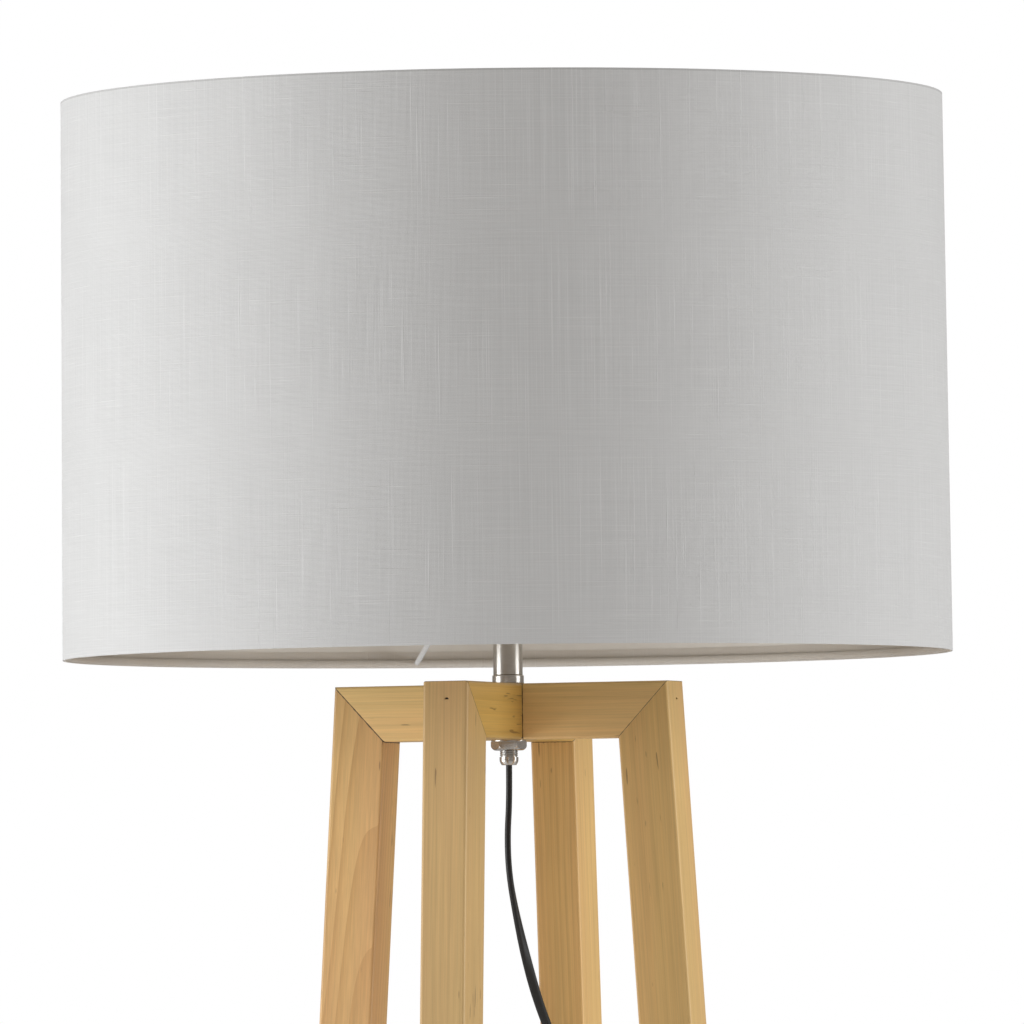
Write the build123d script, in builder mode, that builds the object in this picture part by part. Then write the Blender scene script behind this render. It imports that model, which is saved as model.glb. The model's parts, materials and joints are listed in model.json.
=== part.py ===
from build123d import *
import math
import os

# A floor lamp on four splayed wooden legs, with a linen drum shade.
# Millimetres, +Z up. The origin is on the floor, on the lamp's own axis.
# The front leg stands towards -Y, the right leg towards +X.

os.makedirs("parts", exist_ok=True)

# ---------------------------------------------------------------- wooden frame
frame_top = 1256.0
beam_height = 30.4
timber_thickness = 25.7
half_span = 96.6
leg_width = 30.5
splay = math.tan(math.radians(3.57))
arris = 1.6
glide_height = 3.0
stretcher_height = 300.0
stretcher_depth = 20.0
stretcher_thickness = 22.0
cord_notch_width = 6.8
cord_notch_depth = 5.6

beam_bottom = frame_top - beam_height
half_timber = timber_thickness / 2
arms = {"front": -90, "right": 0, "back": 90, "left": 180}

# ---------------------------------------------------------------- stem and its nut
tube_radius = 5.0
tube_bore_radius = 4.0
tube_clearance = 0.2
thread_pitch = 1.0
thread_depth = 0.55
sleeve_radius = 8.0
sleeve_wall = 1.0
collar_radius = 8.6
collar_height = 5.0
washer_radius = 9.6
washer_thickness = 0.9
nut_flats = 17.0
nut_thickness = 4.8
bushing_gap = 3.6
bushing_height = 4.4
bushing_radius = 5.15
tube_bottom = beam_bottom - washer_thickness - nut_thickness - bushing_gap
cord_exit = tube_bottom - bushing_height

# ---------------------------------------------------------------- lamp holder
holder_bottom = 1300.0
holder_radius = 19.9
holder_wall = 2.0
cap_height = 20.0
shell_height = 34.0
insert_bottom = holder_bottom + 6.0
insert_height = 13.0
socket_bottom = insert_bottom + insert_height
socket_height = 25.0
socket_radius = 13.3
socket_wall = 0.4
holder_ring_radius = 28.0

# ---------------------------------------------------------------- drum shade
shade_bottom = 1271.3
shade_height = 304.0
shade_radius = 242.5
shade_top_radius = 240.5
fabric_thickness = 0.6
liner_thickness = 0.8
ring_wire_radius = 1.5
hem_width = 9.0
hem_thickness = 0.5
hub_rise = 62.0
hub_bore_radius = 21.0
hub_radius = 29.0
hub_thickness = 2.0
spoke_angles = (123, 243, 3)
hub_plane = shade_bottom + hub_rise
shade_top = shade_bottom + shade_height

# ---------------------------------------------------------------- bulb
contact_height = 1.6
bulb_bottom = socket_bottom + 1.2
bulb_cap_radius = 12.6
bulb_cap_height = 24.0
globe_radius = 30.0
bulb_length = 106.0

# ---------------------------------------------------------------- flex, switch and plug
flex_radius = 1.7
flex_width = 5.4
clip_heights = (1016.0, 790.0, 560.0, 330.0, 80.0)
clip_length = 8.0
clip_wall = 1.1
switch_centre = (-30.0, -10.0)
switch_length = 70.0
switch_width = 34.0
switch_base_height = 4.0
switch_cover_height = 13.0
button_radius = 11.0
button_rise = 5.0
relief_length = 20.0
relief_height = 4.5
coil_centre = (45.0, -25.0)
coil_outer_radius = 37.5
coil_inner_radius = 20.5
coil_height = 11.2
plug_tail = (79.0, 43.0)
plug_middle = 6.85
plug_length = 34.0
plug_width = 34.0
pin_spacing = 19.0
pin_radius = 2.0
pin_length = 19.0

stretcher_middle = stretcher_height + stretcher_depth / 2

def leg_outer(height):
    """Distance from the axis to a leg's outer face at a height."""
    return half_span + (frame_top - height) * splay


def leg_inner(height):
    """Distance from the axis to a leg's inner face at a height."""
    return leg_outer(height) - leg_width


def arm_plane(angle):
    """Upright plane through the axis: its x runs out along the arm and its y runs up."""
    turn = math.radians(angle)
    return Plane(
        origin=(0, 0, 0),
        x_dir=(math.cos(turn), math.sin(turn), 0),
        z_dir=(math.sin(turn), -math.cos(turn), 0),
    )


def outward_plane(angle, reach, height, aside=0.0):
    """Plane facing outwards along an arm, at a reach from the axis and a height."""
    turn = math.radians(angle)
    across = (-math.sin(turn), math.cos(turn), 0)
    origin = (
        math.cos(turn) * reach + across[0] * aside,
        math.sin(turn) * reach + across[1] * aside,
        height,
    )
    return Plane(origin=origin, x_dir=across, z_dir=(math.cos(turn), math.sin(turn), 0))


# The mitre runs from the outer top corner down to where the leg's inner face
# meets the underside of the beam.
mitre_inner = leg_inner(beam_bottom)
mitre_run = half_span - mitre_inner
mitre_length = math.hypot(mitre_run, beam_height)

# One brad is driven through each leg into the end grain of its beam.
brad_drop = 10.0
brad_aside = 1.0
brad_radius = 0.8
brad_head_radius = 1.1
brad_head_thickness = 0.6
brad_length = 26.0
brad_recess = 0.8
brad_height = frame_top - brad_drop
fit_gap = 0.05

# One dowel crosses each mitre, square to it, below the brad.
mitre_dowel_radius = 3.0
mitre_dowel_half = 7.5
mitre_dowel_share = 0.65
dowel_out = half_span - mitre_run * mitre_dowel_share
dowel_up = frame_top - beam_height * mitre_dowel_share

# Two dowels side by side pin each end of the lower stretchers.
stretcher_dowel_radius = 2.5
stretcher_dowel_aside = 7.2
stretcher_dowel_half = 11.0

# A moulded glide is nailed under each foot.
glide_radius = 9.0
glide_nail_radius = 1.0
glide_nail_length = 14.0
glide_recess = 1.6
foot_middle = (leg_outer(glide_height) + leg_inner(glide_height)) / 2


def mitre_dowel_plane(angle):
    """Plane in the middle of a mitre, facing square to it, out and down."""
    turn = math.radians(angle)
    out = beam_height / mitre_length
    down = mitre_run / mitre_length
    normal = (math.cos(turn) * out, math.sin(turn) * out, -down)
    origin = (math.cos(turn) * dowel_out, math.sin(turn) * dowel_out, dowel_up)
    return Plane(origin=origin, x_dir=(-math.sin(turn), math.cos(turn), 0), z_dir=normal)


# ---------------------------------------------------------------- legs
for side, angle in arms.items():
    with BuildPart() as leg:
        with BuildSketch(arm_plane(angle)):
            with BuildLine():
                Polyline(
                    (half_span, frame_top),
                    (leg_outer(glide_height), glide_height),
                    (leg_inner(glide_height), glide_height),
                    (mitre_inner, beam_bottom),
                    close=True,
                )
            make_face()
        extrude(amount=half_timber, both=True)
        long_edges = leg.edges().filter_by(lambda edge: edge.length > frame_top / 2)
        fillet(long_edges, radius=arris)
        with BuildSketch(outward_plane(angle, leg_outer(brad_height), brad_height, brad_aside)):
            Circle(brad_radius + fit_gap)
        extrude(amount=-brad_length, mode=Mode.SUBTRACT)
        with BuildSketch(outward_plane(angle, leg_outer(brad_height), brad_height, brad_aside)):
            Circle(brad_head_radius + fit_gap)
        extrude(amount=-(brad_recess + brad_head_thickness), mode=Mode.SUBTRACT)
        with BuildSketch(mitre_dowel_plane(angle)):
            Circle(mitre_dowel_radius + fit_gap)
        extrude(amount=mitre_dowel_half, mode=Mode.SUBTRACT)
        for aside in (-stretcher_dowel_aside, stretcher_dowel_aside):
            with BuildSketch(outward_plane(angle, leg_inner(stretcher_middle), stretcher_middle, aside)):
                Circle(stretcher_dowel_radius + fit_gap)
            extrude(amount=stretcher_dowel_half, both=True, mode=Mode.SUBTRACT)
        turn = math.radians(angle)
        foot = (math.cos(turn) * foot_middle, math.sin(turn) * foot_middle, glide_height)
        with BuildSketch(Plane(origin=foot)):
            Circle(glide_nail_radius + fit_gap)
        extrude(amount=glide_nail_length, mode=Mode.SUBTRACT)
    leg.part.label = f"leg_{side}"
    export_step(leg.part, f"parts/leg_{side}.step")

# ---------------------------------------------------------------- top beams, half-lapped
beams = {"left_right": (0, 180), "front_back": (-90, 90)}
for run, ends in beams.items():
    with BuildPart() as beam:
        with BuildSketch(arm_plane(ends[0])):
            with BuildLine():
                Polyline(
                    (-half_span, frame_top),
                    (half_span, frame_top),
                    (mitre_inner, beam_bottom),
                    (-mitre_inner, beam_bottom),
                    close=True,
                )
            make_face()
        extrude(amount=half_timber, both=True)
        long_edges = beam.edges().filter_by(lambda edge: edge.length > half_span)
        fillet(long_edges, radius=arris)
        lap_floor = frame_top - beam_height / 2
        lap_height = beam_height / 2 if run == "left_right" else -beam_height / 2
        with BuildSketch(Plane.XY.offset(lap_floor)):
            Rectangle(timber_thickness, timber_thickness)
        extrude(amount=lap_height, mode=Mode.SUBTRACT)
        with BuildSketch(Plane.XY.offset(beam_bottom)):
            Circle(tube_radius + tube_clearance)
        extrude(amount=beam_height, mode=Mode.SUBTRACT)
        for angle in ends:
            with BuildSketch(outward_plane(angle, leg_outer(brad_height), brad_height, brad_aside)):
                Circle(brad_radius + fit_gap)
            extrude(amount=-(brad_recess + brad_length), mode=Mode.SUBTRACT)
            with BuildSketch(mitre_dowel_plane(angle)):
                Circle(mitre_dowel_radius + fit_gap)
            extrude(amount=-mitre_dowel_half, mode=Mode.SUBTRACT)
    beam.part.label = f"top_beam_{run}"
    export_step(beam.part, f"parts/top_beam_{run}.step")

with BuildPart() as mitre_dowels:
    for angle in arms.values():
        with BuildSketch(mitre_dowel_plane(angle)):
            Circle(mitre_dowel_radius)
        extrude(amount=mitre_dowel_half, both=True)
mitre_dowels.part.label = "mitre_dowels"
export_step(mitre_dowels.part, "parts/mitre_dowels.step")

with BuildPart() as mitre_brads:
    for angle in arms.values():
        head_reach = leg_outer(brad_height) - brad_recess
        with BuildSketch(outward_plane(angle, head_reach, brad_height, brad_aside)):
            Circle(brad_radius)
        extrude(amount=-brad_length)
        with BuildSketch(outward_plane(angle, head_reach, brad_height, brad_aside)):
            Circle(brad_head_radius)
        extrude(amount=-brad_head_thickness)
mitre_brads.part.label = "mitre_brads"
export_step(mitre_brads.part, "parts/mitre_brads.step")

# ---------------------------------------------------------------- lower stretchers
stretcher_top = stretcher_height + stretcher_depth
for run, ends in beams.items():
    with BuildPart() as stretcher:
        with BuildSketch(arm_plane(ends[0])):
            with BuildLine():
                Polyline(
                    (-leg_inner(stretcher_top), stretcher_top),
                    (leg_inner(stretcher_top), stretcher_top),
                    (leg_inner(stretcher_height), stretcher_height),
                    (-leg_inner(stretcher_height), stretcher_height),
                    close=True,
                )
            make_face()
        extrude(amount=stretcher_thickness / 2, both=True)
        long_edges = stretcher.edges().filter_by(lambda edge: edge.length > stretcher_height / 2)
        fillet(long_edges, radius=arris)
        lap_height = stretcher_depth / 2 if run == "left_right" else -stretcher_depth / 2
        with BuildSketch(Plane.XY.offset(stretcher_middle)):
            Rectangle(stretcher_thickness, stretcher_thickness)
        extrude(amount=lap_height, mode=Mode.SUBTRACT)
        for angle in ends:
            for aside in (-stretcher_dowel_aside, stretcher_dowel_aside):
                reach = leg_inner(stretcher_middle)
                with BuildSketch(outward_plane(angle, reach, stretcher_middle, aside)):
                    Circle(stretcher_dowel_radius + fit_gap)
                extrude(amount=stretcher_dowel_half, both=True, mode=Mode.SUBTRACT)
        # The flex passes through a notch in the end that meets the back leg.
        if run == "front_back":
            notch_reach = leg_inner(stretcher_height)
            with BuildSketch(Plane.XY.offset(stretcher_height)):
                with Locations((0, notch_reach)):
                    Rectangle(cord_notch_width, 2 * cord_notch_depth)
            extrude(amount=stretcher_depth, mode=Mode.SUBTRACT)
    stretcher.part.label = f"stretcher_{run}"
    export_step(stretcher.part, f"parts/stretcher_{run}.step")

with BuildPart() as stretcher_dowels:
    for angle in arms.values():
        for aside in (-stretcher_dowel_aside, stretcher_dowel_aside):
            with BuildSketch(outward_plane(angle, leg_inner(stretcher_middle), stretcher_middle, aside)):
                Circle(stretcher_dowel_radius)
            extrude(amount=stretcher_dowel_half, both=True)
stretcher_dowels.part.label = "stretcher_dowels"
export_step(stretcher_dowels.part, "parts/stretcher_dowels.step")

# ---------------------------------------------------------------- foot glides
with BuildPart() as foot_glides:
    with PolarLocations(foot_middle, 4):
        Cylinder(glide_radius, glide_height, align=(Align.CENTER, Align.CENTER, Align.MIN))
        Cylinder(
            3 * glide_nail_radius,
            glide_recess,
            align=(Align.CENTER, Align.CENTER, Align.MIN),
            mode=Mode.SUBTRACT,
        )
        Cylinder(glide_nail_radius + fit_gap, 3 * glide_height, mode=Mode.SUBTRACT)
foot_glides.part.label = "foot_glides"
export_step(foot_glides.part, "parts/foot_glides.step")

nail_head_height = 1.0
nail_head_radius = 2.5 * glide_nail_radius
with BuildPart() as glide_nails:
    with PolarLocations(foot_middle, 4):
        with Locations((0, 0, glide_recess - nail_head_height)):
            Cylinder(
                nail_head_radius,
                nail_head_height,
                align=(Align.CENTER, Align.CENTER, Align.MIN),
            )
            Cylinder(
                glide_nail_radius,
                glide_nail_length,
                align=(Align.CENTER, Align.CENTER, Align.MIN),
            )
glide_nails.part.label = "glide_nails"
export_step(glide_nails.part, "parts/glide_nails.step")

# ---------------------------------------------------------------- stem
base = (Align.CENTER, Align.CENTER, Align.MIN)
tube_top = holder_bottom + 4.0
crest_radius = thread_depth * 0.8
collar_rounding = 0.7
sleeve_rounding = 0.3
washer_rounding = 0.25

with BuildPart() as threaded_tube:
    with BuildSketch(Plane.XZ):
        with BuildLine():
            Polyline(
                (tube_bore_radius, tube_bottom),
                (tube_radius - thread_depth, tube_bottom),
                (tube_radius - thread_depth, beam_bottom),
                (tube_radius, beam_bottom),
                (tube_radius, tube_top),
                (tube_bore_radius, tube_top),
                close=True,
            )
        make_face()
    revolve(axis=Axis.Z)
    # Rounded thread crests on the length that shows below the nut.
    for crest in range(1, int(bushing_gap / thread_pitch) + 1):
        with Locations((0, 0, tube_bottom + crest * thread_pitch)):
            Torus(tube_radius - thread_depth, crest_radius)
threaded_tube.part.label = "threaded_tube"
export_step(threaded_tube.part, "parts/threaded_tube.step")

with BuildPart() as stem_collar:
    with BuildSketch(Plane.XY.offset(frame_top)):
        Circle(collar_radius)
        Circle(tube_radius + tube_clearance, mode=Mode.SUBTRACT)
    extrude(amount=collar_height)
    rim = stem_collar.edges().filter_by(GeomType.CIRCLE).group_by(SortBy.RADIUS)[-1]
    fillet(rim, radius=collar_rounding)
stem_collar.part.label = "stem_collar"
export_step(stem_collar.part, "parts/stem_collar.step")

with BuildPart() as stem_sleeve:
    with BuildSketch(Plane.XY.offset(frame_top + collar_height)):
        Circle(sleeve_radius)
        Circle(sleeve_radius - sleeve_wall, mode=Mode.SUBTRACT)
    extrude(amount=holder_bottom - frame_top - collar_height)
    rim = stem_sleeve.edges().filter_by(GeomType.CIRCLE).group_by(SortBy.RADIUS)[-1]
    fillet(rim, radius=sleeve_rounding)
stem_sleeve.part.label = "stem_sleeve"
export_step(stem_sleeve.part, "parts/stem_sleeve.step")

with BuildPart() as bottom_washer:
    with BuildSketch(Plane.XY.offset(beam_bottom - washer_thickness)):
        Circle(washer_radius)
        Circle(tube_radius + tube_clearance, mode=Mode.SUBTRACT)
    extrude(amount=washer_thickness)
    rim = bottom_washer.edges().filter_by(GeomType.CIRCLE).group_by(SortBy.RADIUS)[-1]
    fillet(rim, radius=washer_rounding)
bottom_washer.part.label = "bottom_washer"
export_step(bottom_washer.part, "parts/bottom_washer.step")

# The nut's corners are turned down to a round at its free face.
nut_top = beam_bottom - washer_thickness
nut_bottom = nut_top - nut_thickness
nut_corner = nut_flats / 2 / math.cos(math.radians(30))
nut_turned = 2.6
nut_turned_radius = 3.2
nut_seat_radius = nut_flats / 2 - 0.9
with BuildPart() as hex_nut:
    with BuildSketch(Plane.XY.offset(nut_bottom)):
        RegularPolygon(nut_corner, 6, rotation=18)
        Circle(tube_radius - thread_depth, mode=Mode.SUBTRACT)
    extrude(amount=nut_thickness)
    with BuildSketch(Plane.XZ):
        with BuildLine():
            Line((0, nut_bottom), (nut_seat_radius, nut_bottom))
            RadiusArc(
                (nut_seat_radius, nut_bottom),
                (nut_corner + fit_gap, nut_bottom + nut_turned),
                -nut_turned_radius,
            )
            Polyline(
                (nut_corner + fit_gap, nut_bottom + nut_turned),
                (nut_corner + fit_gap, nut_top),
                (0, nut_top),
                (0, nut_bottom),
            )
        make_face()
    revolve(axis=Axis.Z, mode=Mode.INTERSECT)
hex_nut.part.label = "hex_nut"
export_step(hex_nut.part, "parts/hex_nut.step")

# The bushing closes the tube's lower end: a domed flange with a slot for the flex
# and a spigot that presses into the bore.
spigot_radius = tube_bore_radius
spigot_length = 6.0
bushing_tip_radius = 3.9
bushing_shoulder = tube_bottom - bushing_height * 0.35
bushing_dome_radius = 4.6
flex_clearance = 0.2
with BuildPart() as end_bushing:
    with BuildSketch(Plane.XZ):
        with BuildLine():
            Polyline(
                (0, tube_bottom + spigot_length),
                (spigot_radius, tube_bottom + spigot_length),
                (spigot_radius, tube_bottom),
                (bushing_radius, tube_bottom),
                (bushing_radius, bushing_shoulder),
            )
            RadiusArc(
                (bushing_radius, bushing_shoulder),
                (bushing_tip_radius, cord_exit),
                bushing_dome_radius,
            )
            Polyline(
                (bushing_tip_radius, cord_exit),
                (0, cord_exit),
                (0, tube_bottom + spigot_length),
            )
        make_face()
    revolve(axis=Axis.Z)
    with BuildSketch(Plane.XY.offset(cord_exit)):
        SlotOverall(flex_width + flex_clearance, 2 * flex_radius + flex_clearance, rotation=90)
    extrude(amount=bushing_height + spigot_length, mode=Mode.SUBTRACT)
end_bushing.part.label = "end_bushing"
export_step(end_bushing.part, "parts/end_bushing.step")

# The flex inside the tube, and its two cores, which part inside the holder's cap.
core_radius = 0.95
core_aside = 1.7
terminal_aside = 6.0
terminal_height = insert_bottom + 1.4
lead_end = tube_top + 1.0
with BuildPart() as inner_lead:
    with BuildSketch(Plane.XY.offset(cord_exit)):
        SlotOverall(flex_width, 2 * flex_radius, rotation=90)
    extrude(amount=lead_end - cord_exit)
inner_lead.part.label = "inner_lead"
export_step(inner_lead.part, "parts/inner_lead.step")

# ---------------------------------------------------------------- lamp holder
cap_foot_radius = 10.5
cap_shoulder = (13.0, holder_bottom + 4.0)
cap_rim = holder_bottom + 13.0
cap_dome_radius = 11.0
with BuildPart() as holder_cap:
    with BuildSketch(Plane.XZ):
        with BuildLine():
            Polyline(
                (tube_radius + tube_clearance, holder_bottom),
                (cap_foot_radius, holder_bottom),
                cap_shoulder,
            )
            RadiusArc(
                cap_shoulder,
                (holder_radius, cap_rim),
                -cap_dome_radius,
            )
            Polyline(
                (holder_radius, cap_rim),
                (holder_radius, holder_bottom + cap_height),
                (holder_radius - holder_wall, holder_bottom + cap_height),
                (holder_radius - holder_wall, cap_rim + 0.5),
                (cap_shoulder[0] - holder_wall, cap_shoulder[1] + 1.0),
                (cap_foot_radius - 0.5, holder_bottom + holder_wall),
                (tube_radius + tube_clearance, holder_bottom + holder_wall),
                (tube_radius + tube_clearance, holder_bottom),
            )
        make_face()
    revolve(axis=Axis.Z)
holder_cap.part.label = "holder_cap"
export_step(holder_cap.part, "parts/holder_cap.step")

# The threaded skirt, with a rounded crest for each turn of its coarse thread.
shell_bottom = holder_bottom + cap_height
shell_radius = holder_radius - 0.7
skirt_pitch = 2.5
skirt_crest = 0.6
with BuildPart() as holder_shell:
    with BuildSketch(Plane.XY.offset(shell_bottom)):
        Circle(shell_radius)
        Circle(shell_radius - holder_wall, mode=Mode.SUBTRACT)
    extrude(amount=shell_height)
    for crest in range(1, int(shell_height / skirt_pitch)):
        with Locations((0, 0, shell_bottom + crest * skirt_pitch)):
            Torus(shell_radius - 0.1, skirt_crest)
holder_shell.part.label = "holder_shell"
export_step(holder_shell.part, "parts/holder_shell.step")

insert_foot_radius = 10.0
insert_foot = insert_bottom + 3.0
insert_step = holder_bottom + 14.0
insert_outer = shell_radius - holder_wall - 0.1
screw_hole_radius = 1.6
screw_hole_depth = 6.0
screw_radius = 1.55
screw_length = 5.5
screw_head_radius = 2.6
screw_head_height = 1.6
screw_slot = (4.0, 0.6, 0.8)
with BuildPart() as holder_insert:
    with BuildSketch(Plane.XZ):
        with BuildLine():
            Polyline(
                (0, insert_foot),
                (insert_foot_radius, insert_foot),
                (insert_foot_radius, insert_step),
                (insert_outer, insert_step),
                (insert_outer, socket_bottom),
                (0, socket_bottom),
                close=True,
            )
        make_face()
    revolve(axis=Axis.Z)
    # Each terminal screw stands in a hole under the insert.
    with BuildSketch(Plane.XY.offset(insert_foot)):
        with Locations((0, -terminal_aside), (0, terminal_aside)):
            Circle(screw_hole_radius)
    extrude(amount=screw_hole_depth, mode=Mode.SUBTRACT)
holder_insert.part.label = "holder_insert"
export_step(holder_insert.part, "parts/holder_insert.step")

with BuildPart() as terminal_screws:
    for aside in (-terminal_aside, terminal_aside):
        with Locations((0, aside, insert_foot)):
            Cylinder(screw_radius, screw_length, align=base)
        with Locations((0, aside, terminal_height)):
            Cylinder(screw_head_radius, screw_head_height, align=base)
            Box(*screw_slot, align=base, mode=Mode.SUBTRACT)
terminal_screws.part.label = "terminal_screws"
export_step(terminal_screws.part, "parts/terminal_screws.step")

with BuildPart() as lead_cores:
    for way in (-1, 1):
        with BuildLine() as core_path:
            Line((0, way * core_aside, lead_end), (0, way * terminal_aside, terminal_height))
        with BuildSketch(Plane(origin=core_path.line @ 0, z_dir=core_path.line % 0)):
            Circle(core_radius)
        sweep(path=core_path.line)
lead_cores.part.label = "lead_cores"
export_step(lead_cores.part, "parts/lead_cores.step")

with BuildPart() as screw_shell:
    with BuildSketch(Plane.XY.offset(socket_bottom)):
        Circle(socket_radius + socket_wall)
        Circle(socket_radius, mode=Mode.SUBTRACT)
    extrude(amount=socket_height)
screw_shell.part.label = "screw_shell"
export_step(screw_shell.part, "parts/screw_shell.step")

tongue_length = 12.0
tongue_width = 4.0
tongue_thickness = 0.5
with BuildPart() as centre_contact:
    with BuildSketch(Plane.XY.offset(socket_bottom)):
        SlotOverall(tongue_length, tongue_width)
    extrude(amount=tongue_thickness)
    with Locations((0, 0, socket_bottom + tongue_thickness)):
        Cylinder(tongue_width / 2, tongue_thickness, align=base)
centre_contact.part.label = "centre_contact"
export_step(centre_contact.part, "parts/centre_contact.step")

# Two rings on the skirt clamp the shade's hub between them.
ring_bore_radius = holder_radius + 0.1
ring_gap = 0.1
ring_height = 8.0
ring_wall = 2.6
ring_flange = 2.0
grip_count = 24
grip_size = (1.2, 2.4)
lower_ring_bottom = hub_plane - hub_thickness / 2 - ring_gap - ring_height
upper_ring_bottom = hub_plane + hub_thickness / 2 + ring_gap
for name, ring_bottom, flange_at in (
    ("shade_ring_lower", lower_ring_bottom, ring_height - ring_flange),
    ("shade_ring_upper", upper_ring_bottom, 0.0),
):
    with BuildPart() as ring:
        with BuildSketch(Plane.XY.offset(ring_bottom)):
            Circle(ring_bore_radius + ring_wall)
            Circle(ring_bore_radius, mode=Mode.SUBTRACT)
        extrude(amount=ring_height)
        with BuildSketch(Plane.XY.offset(ring_bottom + flange_at)):
            Circle(holder_ring_radius)
            Circle(ring_bore_radius, mode=Mode.SUBTRACT)
        extrude(amount=ring_flange)
        with BuildSketch(Plane.XY.offset(ring_bottom)):
            with PolarLocations(ring_bore_radius + ring_wall + 0.3, grip_count):
                Rectangle(*grip_size)
        extrude(amount=ring_height)
    ring.part.label = name
    export_step(ring.part, f"parts/{name}.step")

# ---------------------------------------------------------------- drum shade
taper = (shade_radius - shade_top_radius) / shade_height


def shade_outer(height):
    """The shade's outer radius at a height."""
    return shade_radius - (height - shade_bottom) * taper


def shade_band(outer_offset, inner_offset, low, high):
    """Outline of a thin conical wall, by its offsets inwards from the shade's outside."""
    return (
        (shade_outer(low) - outer_offset, low),
        (shade_outer(high) - outer_offset, high),
        (shade_outer(high) - inner_offset, high),
        (shade_outer(low) - inner_offset, low),
    )


liner_offset = fabric_thickness + liner_thickness
for name, outer_offset, inner_offset in (
    ("shade_fabric", 0.0, fabric_thickness),
    ("shade_liner", fabric_thickness, liner_offset),
):
    with BuildPart() as wall:
        with BuildSketch(Plane.XZ):
            with BuildLine():
                Polyline(*shade_band(outer_offset, inner_offset, shade_bottom, shade_top), close=True)
            make_face()
        revolve(axis=Axis.Z)
    wall.part.label = name
    export_step(wall.part, f"parts/{name}.step")

# The hems are bands of the same linen turned over the edge and glued inside.
wire_offset = liner_offset + hem_thickness + ring_wire_radius
for name, low in (("shade_hem_lower", shade_bottom), ("shade_hem_upper", shade_top - hem_width)):
    with BuildPart() as hem:
        with BuildSketch(Plane.XZ):
            with BuildLine():
                outline = shade_band(liner_offset, liner_offset + hem_thickness, low, low + hem_width)
                Polyline(*outline, close=True)
            make_face()
        revolve(axis=Axis.Z)
    hem.part.label = name
    export_step(hem.part, f"parts/{name}.step")

# Wire rings stiffen both edges. The lower one carries the fitter.
lower_wire_height = shade_bottom + ring_wire_radius + 1.0
upper_wire_height = shade_top - ring_wire_radius - 1.0
for name, height in (("shade_wire_lower", lower_wire_height), ("shade_wire_upper", upper_wire_height)):
    with BuildPart() as wire:
        with Locations((0, 0, height)):
            Torus(shade_outer(height) - wire_offset - fit_gap, ring_wire_radius)
    wire.part.label = name
    export_step(wire.part, f"parts/{name}.step")

hub_rounding = 0.6
with BuildPart() as shade_hub:
    with BuildSketch(Plane.XY.offset(hub_plane - hub_thickness / 2)):
        Circle(hub_radius)
        Circle(hub_bore_radius, mode=Mode.SUBTRACT)
    extrude(amount=hub_thickness)
    rim = shade_hub.edges().filter_by(GeomType.CIRCLE).group_by(SortBy.RADIUS)[-1]
    fillet(rim, radius=hub_rounding)
shade_hub.part.label = "shade_hub"
export_step(shade_hub.part, "parts/shade_hub.step")

# Three spokes are welded to the top of the lower wire and to the rim of the hub.
spoke_radius = 1.5
spoke_outer = shade_outer(lower_wire_height) - wire_offset - 2 * ring_wire_radius
spoke_foot = lower_wire_height + 0.4
spoke_knee_reach = 60.0
spoke_knee_height = hub_plane - 1.0
spoke_bend_radius = 25.0
with BuildPart() as shade_spokes:
    for angle in spoke_angles:
        turn = math.radians(angle)
        foot = (math.cos(turn) * spoke_outer, math.sin(turn) * spoke_outer, spoke_foot)
        knee = (math.cos(turn) * spoke_knee_reach, math.sin(turn) * spoke_knee_reach, spoke_knee_height)
        head = (math.cos(turn) * hub_radius, math.sin(turn) * hub_radius, hub_plane)
        with BuildLine() as spoke_path:
            FilletPolyline(foot, knee, head, radius=spoke_bend_radius)
        with BuildSketch(Plane(origin=spoke_path.line @ 0, z_dir=spoke_path.line % 0)):
            Circle(spoke_radius)
        sweep(path=spoke_path.line)
shade_spokes.part.label = "shade_spokes"
export_step(shade_spokes.part, "parts/shade_spokes.step")

# The linen overlaps itself in one upright seam at the back.
seam_width = 9.0
seam_thickness = 0.5
seam_angle = 90.0
with BuildPart() as shade_seam:
    with BuildSketch(Plane.XZ):
        with BuildLine():
            outline = shade_band(-seam_thickness, 0.0, shade_bottom, shade_top)
            Polyline(*outline, close=True)
        make_face()
    revolve(axis=Axis.Z, revolution_arc=math.degrees(seam_width / shade_radius))
seam_turn = Rotation(0, 0, seam_angle + math.degrees(seam_width / shade_radius) / 2)
shade_seam.part = seam_turn * shade_seam.part
shade_seam.part.label = "shade_seam"
export_step(shade_seam.part, "parts/shade_seam.step")

# ---------------------------------------------------------------- bulb
cap_bottom = bulb_bottom + contact_height + 2.0
cap_top = cap_bottom + bulb_cap_height
neck_top = bulb_bottom + 56.0
globe_centre = bulb_bottom + bulb_length - globe_radius
globe_joint = math.sqrt(globe_radius**2 - (neck_top - globe_centre) ** 2)
contact_radius = 4.6
contact_rounding = 0.8
insulator_radius = 5.2
cap_foot = (bulb_cap_radius - 2.5, cap_bottom + 1.5)
cap_wall = 1.0
cap_cone = 2.5
neck_flare = (0.6, 1)

with BuildPart() as bulb_contact:
    with BuildSketch(Plane.XY.offset(bulb_bottom)):
        Circle(contact_radius)
    extrude(amount=contact_height)
    fillet(bulb_contact.edges().sort_by(Axis.Z)[0], radius=contact_rounding)
bulb_contact.part.label = "bulb_contact"
export_step(bulb_contact.part, "parts/bulb_contact.step")

with BuildPart() as bulb_insulator:
    with BuildSketch(Plane.XZ):
        with BuildLine():
            Polyline(
                (0, bulb_bottom + contact_height),
                (insulator_radius, bulb_bottom + contact_height),
                cap_foot,
                (0, cap_foot[1]),
                close=True,
            )
        make_face()
    revolve(axis=Axis.Z)
bulb_insulator.part.label = "bulb_insulator"
export_step(bulb_insulator.part, "parts/bulb_insulator.step")

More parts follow.
